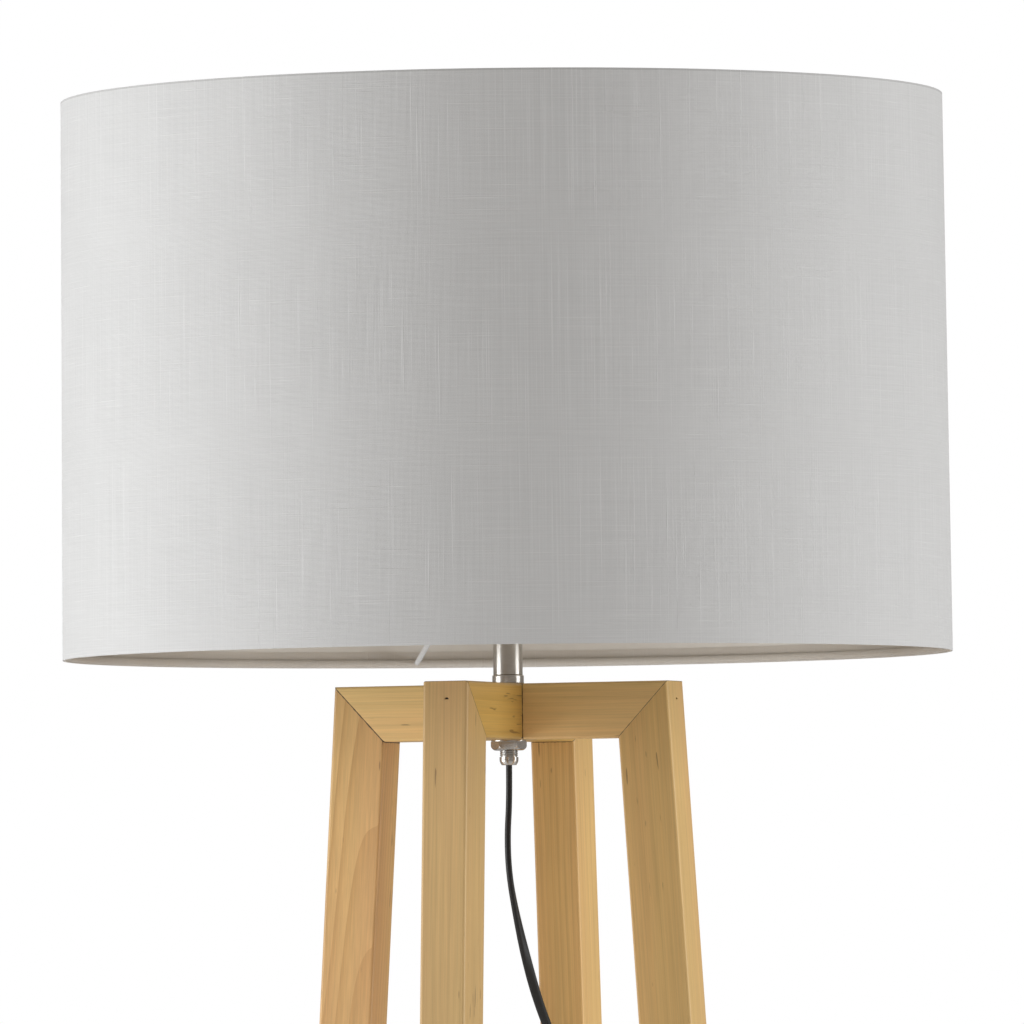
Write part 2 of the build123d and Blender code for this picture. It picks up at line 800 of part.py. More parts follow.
with BuildPart() as bulb_screw_cap:
    with BuildSketch(Plane.XZ):
        with BuildLine():
            Polyline(
                cap_foot,
                (bulb_cap_radius, cap_foot[1] + cap_cone),
                (bulb_cap_radius, cap_top),
                (bulb_cap_radius - cap_wall, cap_top),
                (bulb_cap_radius - cap_wall, cap_foot[1] + cap_cone + cap_wall / 2),
                (cap_foot[0] - cap_wall / 2, cap_foot[1] + cap_wall),
                (0, cap_foot[1] + cap_wall),
                (0, cap_foot[1]),
                close=True,
            )
        make_face()
    revolve(axis=Axis.Z)
bulb_screw_cap.part.label = "bulb_screw_cap"
export_step(bulb_screw_cap.part, "parts/bulb_screw_cap.step")

with BuildPart() as bulb_neck:
    with BuildSketch(Plane.XZ):
        with BuildLine():
            Line((0, cap_top), (bulb_cap_radius, cap_top))
            Spline(
                (bulb_cap_radius, cap_top),
                (globe_joint, neck_top),
                tangents=((0, 1), neck_flare),
            )
            Polyline((globe_joint, neck_top), (0, neck_top), (0, cap_top))
        make_face()
    revolve(axis=Axis.Z)
bulb_neck.part.label = "bulb_neck"
export_step(bulb_neck.part, "parts/bulb_neck.step")

globe_wall = 1.2
with BuildPart() as bulb_globe:
    with Locations((0, 0, globe_centre)):
        Sphere(globe_radius)
        Sphere(globe_radius - globe_wall, mode=Mode.SUBTRACT)
    split(bisect_by=Plane.XY.offset(neck_top), keep=Keep.TOP)
bulb_globe.part.label = "bulb_globe"
export_step(bulb_globe.part, "parts/bulb_globe.step")

# ---------------------------------------------------------------- flex
def leg_line(height):
    """Where the middle of the flex lies when it is clipped flat to the back leg."""
    return leg_inner(height) - flex_radius * math.hypot(1, splay)


leg_run_top = 1024.0
leg_run_bottom = 72.0
floor = flex_radius

# From the bushing the flex bellies forwards a little, then swings to the back leg.
drop_route = [
    (0, 0, cord_exit),
    (0, 0, 1193),
    (0, -4, 1173),
    (0, -2, 1152),
    (0, 8, 1131),
    (0, 22, 1108),
    (0, 40, 1084),
    (0, 62, 1063),
    (0, leg_line(1044), 1044),
    (0, leg_line(leg_run_top), leg_run_top),
]
# At the foot of the leg it comes away, lies on the floor and runs to the switch.
floor_route = [
    (0, leg_line(leg_run_bottom), leg_run_bottom),
    (0, leg_line(52), 52),
    (0, 138.5, 32),
    (-1, 130, 13),
    (-4, 113, floor),
    (-10, 94, floor),
    (-20, 80, floor),
    (-30, 64, 3.2),
    (-30, 45, relief_height),
]
# From the switch it turns back round the coil.
link_route = [
    (-30, -65, relief_height),
    (-30, -86, 3.2),
    (-24, -106, floor),
    (-8, -120, floor),
    (13, -122, floor),
    (34, -114, floor),
    (50, -101, floor),
    (62, -82.5, floor),
    (70, -60.5, 2.2),
    (74.6, -46.4, 2.7),
]
# The last turn of the coil runs off its top to the plug.
tail_route = [
    (78.4, -9, 8.1),
    (78.6, 4, 6.6),
    (79, 18, 5.0),
    (79, 31, 5.4),
    (79, 43, plug_middle),
]
arc_share = 0.45


def route_radii(route):
    """An arc for each corner of a route, as large as its two runs allow."""
    radii = []
    for before, corner, after in zip(route, route[1:], route[2:]):
        arriving = Vector(corner) - Vector(before)
        leaving = Vector(after) - Vector(corner)
        half_turn = math.radians(arriving.get_angle(leaving)) / 2
        shorter = min(arriving.length, leaving.length)
        radii.append(arc_share * shorter / math.tan(half_turn))
    return radii


for name, route in (
    ("flex_drop", drop_route),
    ("flex_floor", floor_route),
    ("flex_link", link_route),
    ("flex_tail", tail_route),
):
    radii = route_radii(route)
    with BuildPart() as tube:
        with BuildLine() as path:
            FilletPolyline(*route, radius=radii)
        middle_line = path.wires()[0]
        with BuildSketch(Plane(origin=middle_line @ 0, z_dir=middle_line % 0)):
            Circle(flex_radius)
        sweep(path=middle_line)
    swept = math.pi * flex_radius**2 * middle_line.length
    print(name, "radii", [round(radius) for radius in radii])
    print(name, "length", round(middle_line.length, 1))
    print(name, "volume", round(tube.part.volume, 1), "section x length", round(swept, 1))
    tube.part.label = name
    export_step(tube.part, f"parts/{name}.step")

leg_run_start = Vector(0, leg_line(leg_run_top), leg_run_top)
leg_run_end = Vector(0, leg_line(leg_run_bottom), leg_run_bottom)
with BuildPart() as flex_leg_run:
    with BuildSketch(Plane(origin=leg_run_start, z_dir=leg_run_end - leg_run_start)):
        Circle(flex_radius)
    extrude(amount=(leg_run_end - leg_run_start).length)
flex_leg_run.part.label = "flex_leg_run"
export_step(flex_leg_run.part, "parts/flex_leg_run.step")
print("flex_leg_run length", round((leg_run_end - leg_run_start).length, 1))

coil_rounding = 1.6
with BuildPart() as flex_coil:
    with BuildSketch(Plane.XY):
        with Locations(coil_centre):
            Circle(coil_outer_radius)
            Circle(coil_inner_radius, mode=Mode.SUBTRACT)
    extrude(amount=coil_height)
    fillet(flex_coil.edges().filter_by(GeomType.CIRCLE), radius=coil_rounding)
flex_coil.part.label = "flex_coil"
export_step(flex_coil.part, "parts/flex_coil.step")

# ---------------------------------------------------------------- clips on the back leg
clip_width = flex_width + flex_clearance + 2 * clip_wall
clip_channel = 2 * flex_radius + fit_gap
clip_depth = clip_channel + clip_wall
lug_width = 5.0
lug_middle = clip_width / 2 + lug_width / 2 - clip_wall
clip_nail_length = 9.0
clip_nail_radius = 0.75
clip_nail_head = (1.5, 0.8)
lug_rounding = 1.2
lug_share = 0.8
nail_middle = lug_middle + 0.3


def clip_plane(height, lift=0.0):
    """Plane on the back leg's inner face, facing the axis, its y up along the leg."""
    face = (0, leg_inner(height) - lift, height - lift * splay)
    return Plane(origin=face, x_dir=(1, 0, 0), z_dir=(0, -1, -splay))


with BuildPart() as cord_clips:
    for height in clip_heights:
        with BuildSketch(clip_plane(height)):
            Rectangle(clip_width, clip_length)
        extrude(amount=clip_depth)
        with BuildSketch(clip_plane(height)):
            with Locations((lug_middle, 0)):
                RectangleRounded(lug_width, clip_length * lug_share, lug_rounding)
        extrude(amount=clip_depth)
        with BuildSketch(clip_plane(height)):
            Rectangle(flex_width + flex_clearance, clip_length)
        extrude(amount=clip_channel, mode=Mode.SUBTRACT)
        with BuildSketch(clip_plane(height)):
            with Locations((nail_middle, 0)):
                Circle(clip_nail_radius + fit_gap)
        extrude(amount=clip_depth, mode=Mode.SUBTRACT)
cord_clips.part.label = "cord_clips"
export_step(cord_clips.part, "parts/cord_clips.step")

with BuildPart() as clip_nails:
    for height in clip_heights:
        with BuildSketch(clip_plane(height, clip_depth)):
            with Locations((nail_middle, 0)):
                Circle(clip_nail_head[0])
        extrude(amount=clip_nail_head[1])
        with BuildSketch(clip_plane(height, clip_depth)):
            with Locations((nail_middle, 0)):
                Circle(clip_nail_radius)
        extrude(amount=-(clip_depth + clip_nail_length))
clip_nails.part.label = "clip_nails"
export_step(clip_nails.part, "parts/clip_nails.step")

# ---------------------------------------------------------------- foot switch
switch_top = switch_base_height + switch_cover_height
switch_wall = 2.0
button_clearance = 0.3
flange_radius = button_radius + 1.6
flange_thickness = 1.2
flange_top = switch_top - switch_wall - 0.2
spring_radius = 5.0
spring_wire = 0.5
spring_pitch = 2.4
base_rounding = 1.0
cover_rounding = 4.0
button_rounding = 1.8
relief_wide_radius = 4.3
relief_narrow_radius = 2.9

with BuildPart() as switch_base:
    with BuildSketch(Plane.XY):
        with Locations(switch_centre):
            SlotOverall(switch_length, switch_width, rotation=90)
    extrude(amount=switch_base_height)
    fillet(switch_base.faces().sort_by(Axis.Z)[0].edges(), radius=base_rounding)
switch_base.part.label = "switch_base"
export_step(switch_base.part, "parts/switch_base.step")

with BuildPart() as switch_cover:
    with BuildSketch(Plane.XY.offset(switch_base_height)):
        with Locations(switch_centre):
            SlotOverall(switch_length, switch_width, rotation=90)
    extrude(amount=switch_cover_height)
    fillet(switch_cover.faces().sort_by(Axis.Z)[-1].edges(), radius=cover_rounding)
    with BuildSketch(Plane.XY.offset(switch_base_height)):
        with Locations(switch_centre):
            SlotOverall(switch_length - 3 * switch_wall, switch_width - 3 * switch_wall, rotation=90)
    extrude(amount=switch_cover_height - switch_wall, mode=Mode.SUBTRACT)
    with BuildSketch(Plane.XY.offset(switch_base_height)):
        with Locations(switch_centre):
            Circle(button_radius + button_clearance)
    extrude(amount=switch_cover_height, mode=Mode.SUBTRACT)
switch_cover.part.label = "switch_cover"
export_step(switch_cover.part, "parts/switch_cover.step")

with BuildPart() as foot_button:
    with BuildSketch(Plane.XY.offset(flange_top - flange_thickness)):
        with Locations(switch_centre):
            Circle(flange_radius)
    extrude(amount=flange_thickness)
    with BuildSketch(Plane.XY.offset(flange_top)):
        with Locations(switch_centre):
            Circle(button_radius)
    extrude(amount=switch_top + button_rise - flange_top)
    fillet(foot_button.edges().sort_by(Axis.Z)[-1], radius=button_rounding)
foot_button.part.label = "foot_button"
export_step(foot_button.part, "parts/foot_button.step")

spring_height = flange_top - flange_thickness - switch_base_height
spring_place = (*switch_centre, switch_base_height + spring_wire)
with BuildPart() as switch_spring:
    with BuildLine() as spring_path:
        Helix(spring_pitch, spring_height - 2 * spring_wire, spring_radius, center=spring_place)
    with BuildSketch(Plane(origin=spring_path.line @ 0, z_dir=spring_path.line % 0)):
        Circle(spring_wire)
    sweep(path=spring_path.line, is_frenet=True)
switch_spring.part.label = "switch_spring"
export_step(switch_spring.part, "parts/switch_spring.step")

with BuildPart() as switch_reliefs:
    for way in (-1, 1):
        end = switch_centre[1] + way * switch_length / 2
        with BuildSketch(Plane(origin=(switch_centre[0], end, relief_height), z_dir=(0, way, 0))):
            Circle(relief_wide_radius)
        with BuildSketch(
            Plane(origin=(switch_centre[0], end + way * relief_length, relief_height), z_dir=(0, way, 0))
        ):
            Circle(relief_narrow_radius)
        loft()
switch_reliefs.part.label = "switch_reliefs"
export_step(switch_reliefs.part, "parts/switch_reliefs.step")

# ---------------------------------------------------------------- flat two-pin plug
plug_back = plug_tail[1] + relief_length
plug_neck_half = 8
plug_nose_half = 13
plug_shoulder = 10
plug_cheek = 25
plug_corner_rounding = 2.5
plug_edge_rounding = 2.0
plug_relief_radius = 4.6
pin_rounding = 1.0
with BuildPart() as plug_body:
    with BuildSketch(Plane(origin=(plug_tail[0], plug_back, 0))):
        with BuildLine():
            Polyline(
                (-plug_neck_half, 0),
                (-plug_width / 2, plug_shoulder),
                (-plug_width / 2, plug_cheek),
                (-plug_nose_half, plug_length),
                (plug_nose_half, plug_length),
                (plug_width / 2, plug_cheek),
                (plug_width / 2, plug_shoulder),
                (plug_neck_half, 0),
                close=True,
            )
        make_face()
    extrude(amount=2 * plug_middle)
    fillet(plug_body.edges().filter_by(Axis.Z), radius=plug_corner_rounding)
    fillet(plug_body.faces().sort_by(Axis.Z)[-1].edges(), radius=plug_edge_rounding)
    fillet(plug_body.faces().sort_by(Axis.Z)[0].edges(), radius=plug_edge_rounding)
plug_body.part.label = "plug_body"
export_step(plug_body.part, "parts/plug_body.step")

with BuildPart() as plug_relief:
    with BuildSketch(Plane(origin=(plug_tail[0], plug_back, plug_middle), z_dir=(0, 1, 0))):
        Circle(plug_relief_radius)
    with BuildSketch(Plane(origin=(*plug_tail, plug_middle), z_dir=(0, 1, 0))):
        Circle(relief_narrow_radius)
    loft()
plug_relief.part.label = "plug_relief"
export_step(plug_relief.part, "parts/plug_relief.step")

plug_front = plug_back + plug_length
with BuildPart() as plug_pins:
    for way in (-1, 1):
        root = (plug_tail[0] + way * pin_spacing / 2, plug_front, plug_middle)
        with BuildSketch(Plane(origin=root, z_dir=(0, 1, 0))):
            Circle(pin_radius)
        extrude(amount=pin_length)
    fillet(plug_pins.faces().group_by(Axis.Y)[-1].edges(), radius=pin_rounding)
plug_pins.part.label = "plug_pins"
export_step(plug_pins.part, "parts/plug_pins.step")
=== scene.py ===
# %% [markdown]
# # A wooden floor lamp with a linen drum shade
# The design of the lamp comes in as a frame: every rigid piece is already there, at
# its real size and place, in metres. This notebook gives the pieces their finish, and
# makes the soft and the fine ones again: the flex, the linen, the hems, the threads.

# %% Load the frame
import bmesh
import bpy
import json
import math
from mathutils import Matrix, Vector, noise


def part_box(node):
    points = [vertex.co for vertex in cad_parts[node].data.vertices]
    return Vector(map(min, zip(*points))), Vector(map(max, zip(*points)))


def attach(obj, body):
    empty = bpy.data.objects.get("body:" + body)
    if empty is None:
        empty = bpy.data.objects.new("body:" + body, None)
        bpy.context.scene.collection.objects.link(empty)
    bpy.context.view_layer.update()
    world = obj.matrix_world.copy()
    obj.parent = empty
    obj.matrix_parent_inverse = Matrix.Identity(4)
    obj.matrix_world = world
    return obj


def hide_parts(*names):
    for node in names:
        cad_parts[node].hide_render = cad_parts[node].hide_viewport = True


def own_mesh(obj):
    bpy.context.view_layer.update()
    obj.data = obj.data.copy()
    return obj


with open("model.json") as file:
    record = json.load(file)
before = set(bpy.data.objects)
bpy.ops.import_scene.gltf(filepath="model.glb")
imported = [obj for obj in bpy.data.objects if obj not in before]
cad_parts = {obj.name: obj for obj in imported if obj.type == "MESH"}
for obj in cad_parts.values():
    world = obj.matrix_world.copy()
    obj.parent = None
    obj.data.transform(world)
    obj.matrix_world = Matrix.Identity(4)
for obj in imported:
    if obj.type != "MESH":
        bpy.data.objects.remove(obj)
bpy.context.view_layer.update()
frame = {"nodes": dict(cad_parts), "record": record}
nodes = frame["nodes"]
scene = bpy.context.scene
print("pieces in the frame:", len(nodes))

# %% [markdown]
# ## The camera
# A very long lens from seven metres off keeps the upright lines nearly parallel. A
# camera looks along its own -Z, so its three axes are built from the direction it
# looks in and then turned by a slight roll.

# %% Camera
millimetre = 0.001
camera_azimuth = math.radians(20.5)
camera_distance = 7.042
camera_aside = 0.0032
camera_height = 1.0861
camera_pitch = math.radians(2.145)
camera_roll = math.radians(-0.665)
camera_lens = 454.4
sensor_width = 36
clip_distance = 50

sideways = Vector((math.cos(camera_azimuth), math.sin(camera_azimuth), 0))
away = Vector((-math.sin(camera_azimuth), math.cos(camera_azimuth), 0))
forward = away * math.cos(camera_pitch) + Vector((0, 0, math.sin(camera_pitch)))
upward = sideways.cross(forward)
camera_x = sideways * math.cos(camera_roll) + upward * math.sin(camera_roll)
camera_y = upward * math.cos(camera_roll) - sideways * math.sin(camera_roll)
camera_place = sideways * camera_aside - away * camera_distance
camera_place.z = camera_height

camera = bpy.data.objects.new("camera", bpy.data.cameras.new("camera"))
camera.data.lens = camera_lens
camera.data.sensor_width = sensor_width
camera.data.clip_end = clip_distance
camera.matrix_world = Matrix.Translation(camera_place) @ Matrix(
    (camera_x, camera_y, -forward)
).transposed().to_4x4()
scene.collection.objects.link(camera)
scene.camera = camera
print("camera at", [round(x, 3) for x in camera_place])

# %% [markdown]
# ## Helpers for new meshes
# A bmesh is edited in memory and then written to a mesh. Every new piece goes through
# the same few steps: merge doubles, turn the faces outwards, shade smooth, link it.


# %% From a bmesh to a finished piece
def finish_piece(shape, name, body, material, merge=1e-6, sharp_angle=40):
    """Write a bmesh to a new object that rides on a body."""
    if merge:
        bmesh.ops.remove_doubles(shape, verts=shape.verts, dist=merge)
    bmesh.ops.recalc_face_normals(shape, faces=shape.faces)
    mesh = bpy.data.meshes.new(name)
    shape.to_mesh(mesh)
    shape.free()
    mesh.polygons.foreach_set("use_smooth", [True] * len(mesh.polygons))
    mesh.set_sharp_from_angle(angle=math.radians(sharp_angle))
    piece = bpy.data.objects.new(name, mesh)
    scene.collection.objects.link(piece)
    mesh.materials.append(material)
    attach(piece, body)
    print(name, "faces:", len(mesh.polygons))
    return piece


def spun(profile, steps):
    """A bmesh made by spinning a closed outline of (radius, height) points about the Z axis."""
    shape = bmesh.new()
    corners = [shape.verts.new((radius, 0, height)) for radius, height in profile]
    edges = [shape.edges.new(pair) for pair in zip(corners, corners[1:] + corners[:1])]
    bmesh.ops.spin(
        shape,
        geom=corners + edges,
        cent=(0, 0, 0),
        axis=(0, 0, 1),
        angle=2 * math.pi,
        steps=steps,
        use_merge=True,
    )
    return shape


def skinned(shape, loops):
    """Faces between closed loops of vertices, and a cap on each end."""
    for low, high in zip(loops, loops[1:]):
        for a in range(len(low)):
            b = (a + 1) % len(low)
            shape.faces.new((low[a], low[b], high[b], high[a]))
    shape.faces.new(loops[0][::-1])
    shape.faces.new(loops[-1])


# %% [markdown]
# ## Node groups for finishes
# An effect that several finishes share is a node group: made once, placed in each
# material with its own numbers. Each group here works on the piece's own coordinates
# and puts out a mask or a height, never a shader.


# %% Small helpers for nodes
def new_material(name, colour=(0.8, 0.8, 0.8), roughness=0.5, metallic=0.0):
    """A material with a Principled shader, and that shader's node."""
    material = bpy.data.materials.new(name)
    material.use_nodes = True
    shader = material.node_tree.nodes["Principled BSDF"]
    shader.inputs["Base Color"].default_value = (*colour, 1)
    shader.inputs["Roughness"].default_value = roughness
    shader.inputs["Metallic"].default_value = metallic
    return material, shader


def add_node(tree, kind, settings=None, **inputs):
    """Add a node, set its properties and its inputs; an input may be a value or a socket."""
    node = tree.nodes.new(kind)
    for key, value in (settings or {}).items():
        setattr(node, key, value)
    for key, value in inputs.items():
        socket = node.inputs[int(key[1:])] if key[0] == "n" and key[1:].isdigit() else node.inputs[key]
        if isinstance(value, bpy.types.NodeSocket):
            tree.links.new(value, socket)
        else:
            socket.default_value = value
    return node


def object_coordinates(tree):
    """The socket that gives a point's place on the object."""
    return add_node(tree, "ShaderNodeTexCoord").outputs["Object"]


def speckle(tree, place, scale, detail, **more):
    """The value of a noise texture at a place."""
    node = add_node(tree, "ShaderNodeTexNoise", Vector=place, Scale=scale, Detail=detail, **more)
    return node.outputs["Fac"]


def new_group(name, inputs, outputs):
    """An empty shader node group with named sockets, and its two end nodes."""
    group = bpy.data.node_groups.new(name, "ShaderNodeTree")
    for label, kind, value in inputs:
        socket = group.interface.new_socket(label, in_out="INPUT", socket_type=kind)
        if value is not None:
            socket.default_value = value
    for label, kind in outputs:
        group.interface.new_socket(label, in_out="OUTPUT", socket_type=kind)
    return group, group.nodes.new("NodeGroupInput"), group.nodes.new("NodeGroupOutput")


def place_group(tree, group, **inputs):
    """Put a node group in a material and feed its inputs."""
    node = tree.nodes.new("ShaderNodeGroup")
    node.node_tree = group
    for key, value in inputs.items():
        socket = node.inputs[key]
        if isinstance(value, bpy.types.NodeSocket):
            tree.links.new(value, socket)
        else:
            socket.default_value = value
    return node


def ramp(tree, factor, stops):
    """A colour ramp with the given (place, colour) stops."""
    node = add_node(tree, "ShaderNodeValToRGB", Fac=factor)
    colours = node.color_ramp.elements
    while len(colours) < len(stops):
        colours.new(0.5)
    for element, (place, colour) in zip(colours, stops):
        element.position = place
        element.color = (*colour, 1)
    return node.outputs["Color"]


def maths(tree, operation, a, b=0.0, clamp=False):
    """One Math node's answer."""
    node = add_node(tree, "ShaderNodeMath", {"operation": operation, "use_clamp": clamp}, n0=a, n1=b)
    return node.outputs[0]


def over(tree, value, level, gain):
    """How far a value is over a level, times a gain, kept between 0 and 1."""
    return maths(tree, "MULTIPLY", maths(tree, "SUBTRACT", value, level), gain, clamp=True)


def mixed(tree, factor, a, b, blend="MIX"):
    """One colour mixed over another."""
    node = add_node(tree, "ShaderNodeMix", {"data_type": "RGBA", "blend_type": blend}, n0=factor, n6=a, n7=b)
    return node.outputs[2]


def grey(value):
    """A colour of equal parts."""
    return (value, value, value)


def bump(tree, shader, height, strength, distance):
    """Feed a height to the shader's normal."""
    node = add_node(tree, "ShaderNodeBump", Height=height, Strength=strength, Distance=distance)
    tree.links.new(node.outputs["Normal"], shader.inputs["Normal"])


# %% [markdown]
# ## Pine
# Sawn pine is a stack of cones: a yearly ring shows as a line along a face that runs
# with the trunk, and as an arch where the face cuts across a cone. A wave texture of
# rings about the trunk's own axis gives both, if the axis is put beside the board and
# is bent a little by noise. Its saw-tooth profile has the slow change from pale early
# wood to dark late wood and the sudden step back.

# %% Group: pine grain
ring_spacing = 3.4 * millimetre
pine_early = (0.700, 0.465, 0.180)
pine_late = (0.480, 0.265, 0.075)
pine_pink = (0.660, 0.375, 0.160)
pine_fleck = (0.160, 0.075, 0.030)

pine_grain, start, end = new_group(
    "pine_grain",
    [("Place", "NodeSocketVector", None), ("Rings", "NodeSocketFloat", 0.55)],
    [("Color", "NodeSocketColor"), ("Height", "NodeSocketFloat"), ("Roughness", "NodeSocketFloat")],
)
grain_place = start.outputs["Place"]


def drawn_out(scale, along, detail, fourth):
    """Noise that is drawn out along the board by the factor 1 / along; fourth picks the pattern."""
    slid = add_node(
        pine_grain, "ShaderNodeVectorMath", {"operation": "MULTIPLY"}, n0=grain_place, n1=(1, 1, along)
    )
    noise_node = add_node(
        pine_grain,
        "ShaderNodeTexNoise",
        {"noise_dimensions": "4D"},
        Vector=slid.outputs[0],
        W=fourth,
        Scale=scale,
        Detail=detail,
    )
    return noise_node.outputs["Fac"]


wander_reach = 34 * millimetre
wander_x = maths(pine_grain, "SUBTRACT", drawn_out(11, 0.10, 2, 0.0), 0.5)
wander_y = maths(pine_grain, "SUBTRACT", drawn_out(11, 0.10, 2, 5.0), 0.5)
wander = add_node(pine_grain, "ShaderNodeCombineXYZ", X=wander_x, Y=wander_y).outputs[0]
wander = add_node(
    pine_grain, "ShaderNodeVectorMath", {"operation": "SCALE"}, n0=wander, Scale=wander_reach
).outputs[0]
bent = add_node(pine_grain, "ShaderNodeVectorMath", n0=grain_place, n1=wander).outputs[0]
rings = add_node(
    pine_grain,
    "ShaderNodeTexWave",
    {"wave_type": "RINGS", "rings_direction": "Z", "wave_profile": "SAW"},
    Vector=bent,
    Scale=2 * math.pi / (20 * ring_spacing),
).outputs["Fac"]
late_wood = maths(pine_grain, "POWER", rings, 2.4)
late_wood = maths(pine_grain, "MULTIPLY", late_wood, start.outputs["Rings"])
fibres = drawn_out(1100, 0.016, 3, 2.0)
streaks = drawn_out(240, 0.012, 2, 3.0)
tone = drawn_out(26, 0.06, 2, 7.0)
pink = over(pine_grain, tone, 0.44, 2.6)
specks = drawn_out(520, 0.11, 1, 11.0)
patches = drawn_out(30, 0.25, 1, 13.0)
crowding = maths(pine_grain, "MULTIPLY", maths(pine_grain, "SUBTRACT", patches, 0.5), 0.5)
fleck = over(pine_grain, maths(pine_grain, "ADD", specks, crowding), 0.74, 25.0)
wood = mixed(pine_grain, late_wood, (*pine_early, 1), (*pine_late, 1))
wood = mixed(pine_grain, pink, wood, (*pine_pink, 1))
shade_of_fibre = ramp(pine_grain, fibres, [(0.30, grey(0.88)), (0.70, grey(1.06))])
shade_of_streak = ramp(pine_grain, streaks, [(0.30, grey(0.94)), (0.70, grey(1.03))])
wood = mixed(pine_grain, 1.0, wood, shade_of_fibre, "MULTIPLY")
wood = mixed(pine_grain, 1.0, wood, shade_of_streak, "MULTIPLY")
wood = mixed(pine_grain, maths(pine_grain, "MULTIPLY", fleck, 0.6), wood, (*pine_fleck, 1))
rough = maths(pine_grain, "MULTIPLY_ADD", fibres, 0.14)
rough.node.inputs[2].default_value = 0.36
pine_grain.links.new(wood, end.inputs["Color"])
raised = maths(pine_grain, "ADD", fibres, maths(pine_grain, "MULTIPLY", late_wood, 0.5))
pine_grain.links.new(raised, end.inputs["Height"])
pine_grain.links.new(rough, end.inputs["Roughness"])
print("pine grain nodes:", len(pine_grain.nodes))

# %% [markdown]
# ## Glue lines
# Where two boards meet, the joint shows as a thin dark line. It is not drawn by hand:
# the distance of a point from the plane of the joint is a dot product, and where that
# distance is under a few tenths of a millimetre the wood is darkened.

# %% Group: joint line
joint_line, start, end = new_group(
    "joint_line",
    [
        ("Place", "NodeSocketVector", None),
        ("Corner", "NodeSocketVector", None),
        ("Across", "NodeSocketVector", None),
        ("Width", "NodeSocketFloat", 0.0003),
    ],
    [("Mask", "NodeSocketFloat")],
)
place = start.outputs["Place"]
offset = add_node(
    joint_line, "ShaderNodeVectorMath", {"operation": "SUBTRACT"}, n0=place, n1=start.outputs["Corner"]
).outputs[0]
apart = add_node(
    joint_line, "ShaderNodeVectorMath", {"operation": "DOT_PRODUCT"}, n0=offset, n1=start.outputs["Across"]
).outputs["Value"]
ragged = speckle(joint_line, place, 420.0, 2.0)
width = maths(joint_line, "MULTIPLY", start.outputs["Width"], maths(joint_line, "MULTIPLY", ragged, 2.0))
nearness = maths(joint_line, "DIVIDE", maths(joint_line, "ABSOLUTE", apart), width)
joint_line.links.new(maths(joint_line, "SUBTRACT", 1.6, nearness, clamp=True), end.inputs["Mask"])

# %% Pine for each board
leg_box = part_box("leg_right")
beam_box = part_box("top_beam_left_right")
frame_top = beam_box[1][2]
beam_bottom = beam_box[0][2]
half_span = beam_box[1][0]
half_timber = beam_box[1][1]
leg_width = 30.5 * millimetre
splay = math.atan((leg_box[1][0] - half_span) / (frame_top - leg_box[0][2]))
mitre_inner = half_span - leg_width + (frame_top - beam_bottom) * math.tan(splay)
mitre = Vector((half_span - mitre_inner, 0, frame_top - beam_bottom))
mitre_across = Vector((mitre.z, 0, -mitre.x)).normalized()
glue_line = 0.12 * millimetre
corner_line = 0.30 * millimetre
ink = (0.055, 0.030, 0.014)


def pine(name, turn, shift, lines, ring_strength=0.55, tint=(1, 1, 1)):
    """Pine whose grain runs along a board; turn and shift stand the board up beside the trunk's axis."""
    material, shader = new_material(name)
    tree = material.node_tree
    coordinates = object_coordinates(tree)
    upright = add_node(tree, "ShaderNodeMapping", Vector=coordinates, Location=shift, Rotation=turn)
    grain = place_group(tree, pine_grain, Place=upright.outputs[0], Rings=ring_strength)
    colour = mixed(tree, 1.0, grain.outputs["Color"], (*tint, 1), "MULTIPLY")
    for corner, across, width in lines:
        line = place_group(tree, joint_line, Place=coordinates, Corner=corner, Across=across, Width=width)
        colour = mixed(tree, line.outputs["Mask"], colour, (*ink, 1))
    tree.links.new(colour, shader.inputs["Base Color"])
    tree.links.new(grain.outputs["Roughness"], shader.inputs["Roughness"])
    shader.inputs["Coat Weight"].default_value = 0.18
    shader.inputs["Coat Roughness"].default_value = 0.30
    bump(tree, shader, grain.outputs["Height"], 0.35, 0.12 * millimetre)
    return material


def dress(material, *names):
    """Give CAD pieces their material."""
    for name in names:
        for place in nodes[name].material_slots:
            place.material = material


# Each leg leans by the splay in its own upright plane. The glue lines differ: the left
# mitre has opened a little, as glued mitres do in dry rooms. In each row: the way out,
# the turn and the shift of the grain, the strength of its rings, its tint, and the
# width of the glue line in millimetres.
legs = {
    "leg_right": (
        Vector((1, 0, 0)), (0, splay, 0), (-0.130, 0.062, 0.30), 0.16, (1.12, 1.10, 1.06), 0.12
    ),
    "leg_left": (
        Vector((-1, 0, 0)), (0.040, -splay, 0), (0.152, 0.018, 0.10), 0.62, (1.04, 0.99, 0.99), 0.34
    ),
    "leg_front": (
        Vector((0, -1, 0)), (splay, 0, 0), (0.070, 0.120, 0.70), 0.18, (0.95, 0.95, 0.99), 0.14
    ),
    "leg_back": (
        Vector((0, 1, 0)), (-splay, 0, 0), (-0.070, -0.110, 0.50), 0.30, (1.20, 1.17, 1.12), 0.22
    ),
}
for name, (out, turn, shift, strength, tint, gap) in legs.items():
    corner = out * half_span + Vector((0, 0, frame_top))
    across = out * mitre_across.x + Vector((0, 0, mitre_across.z))
    finish = pine(f"pine_{name}", turn, shift, [(corner, across, gap * millimetre)], strength, tint)
    dress(finish, name)

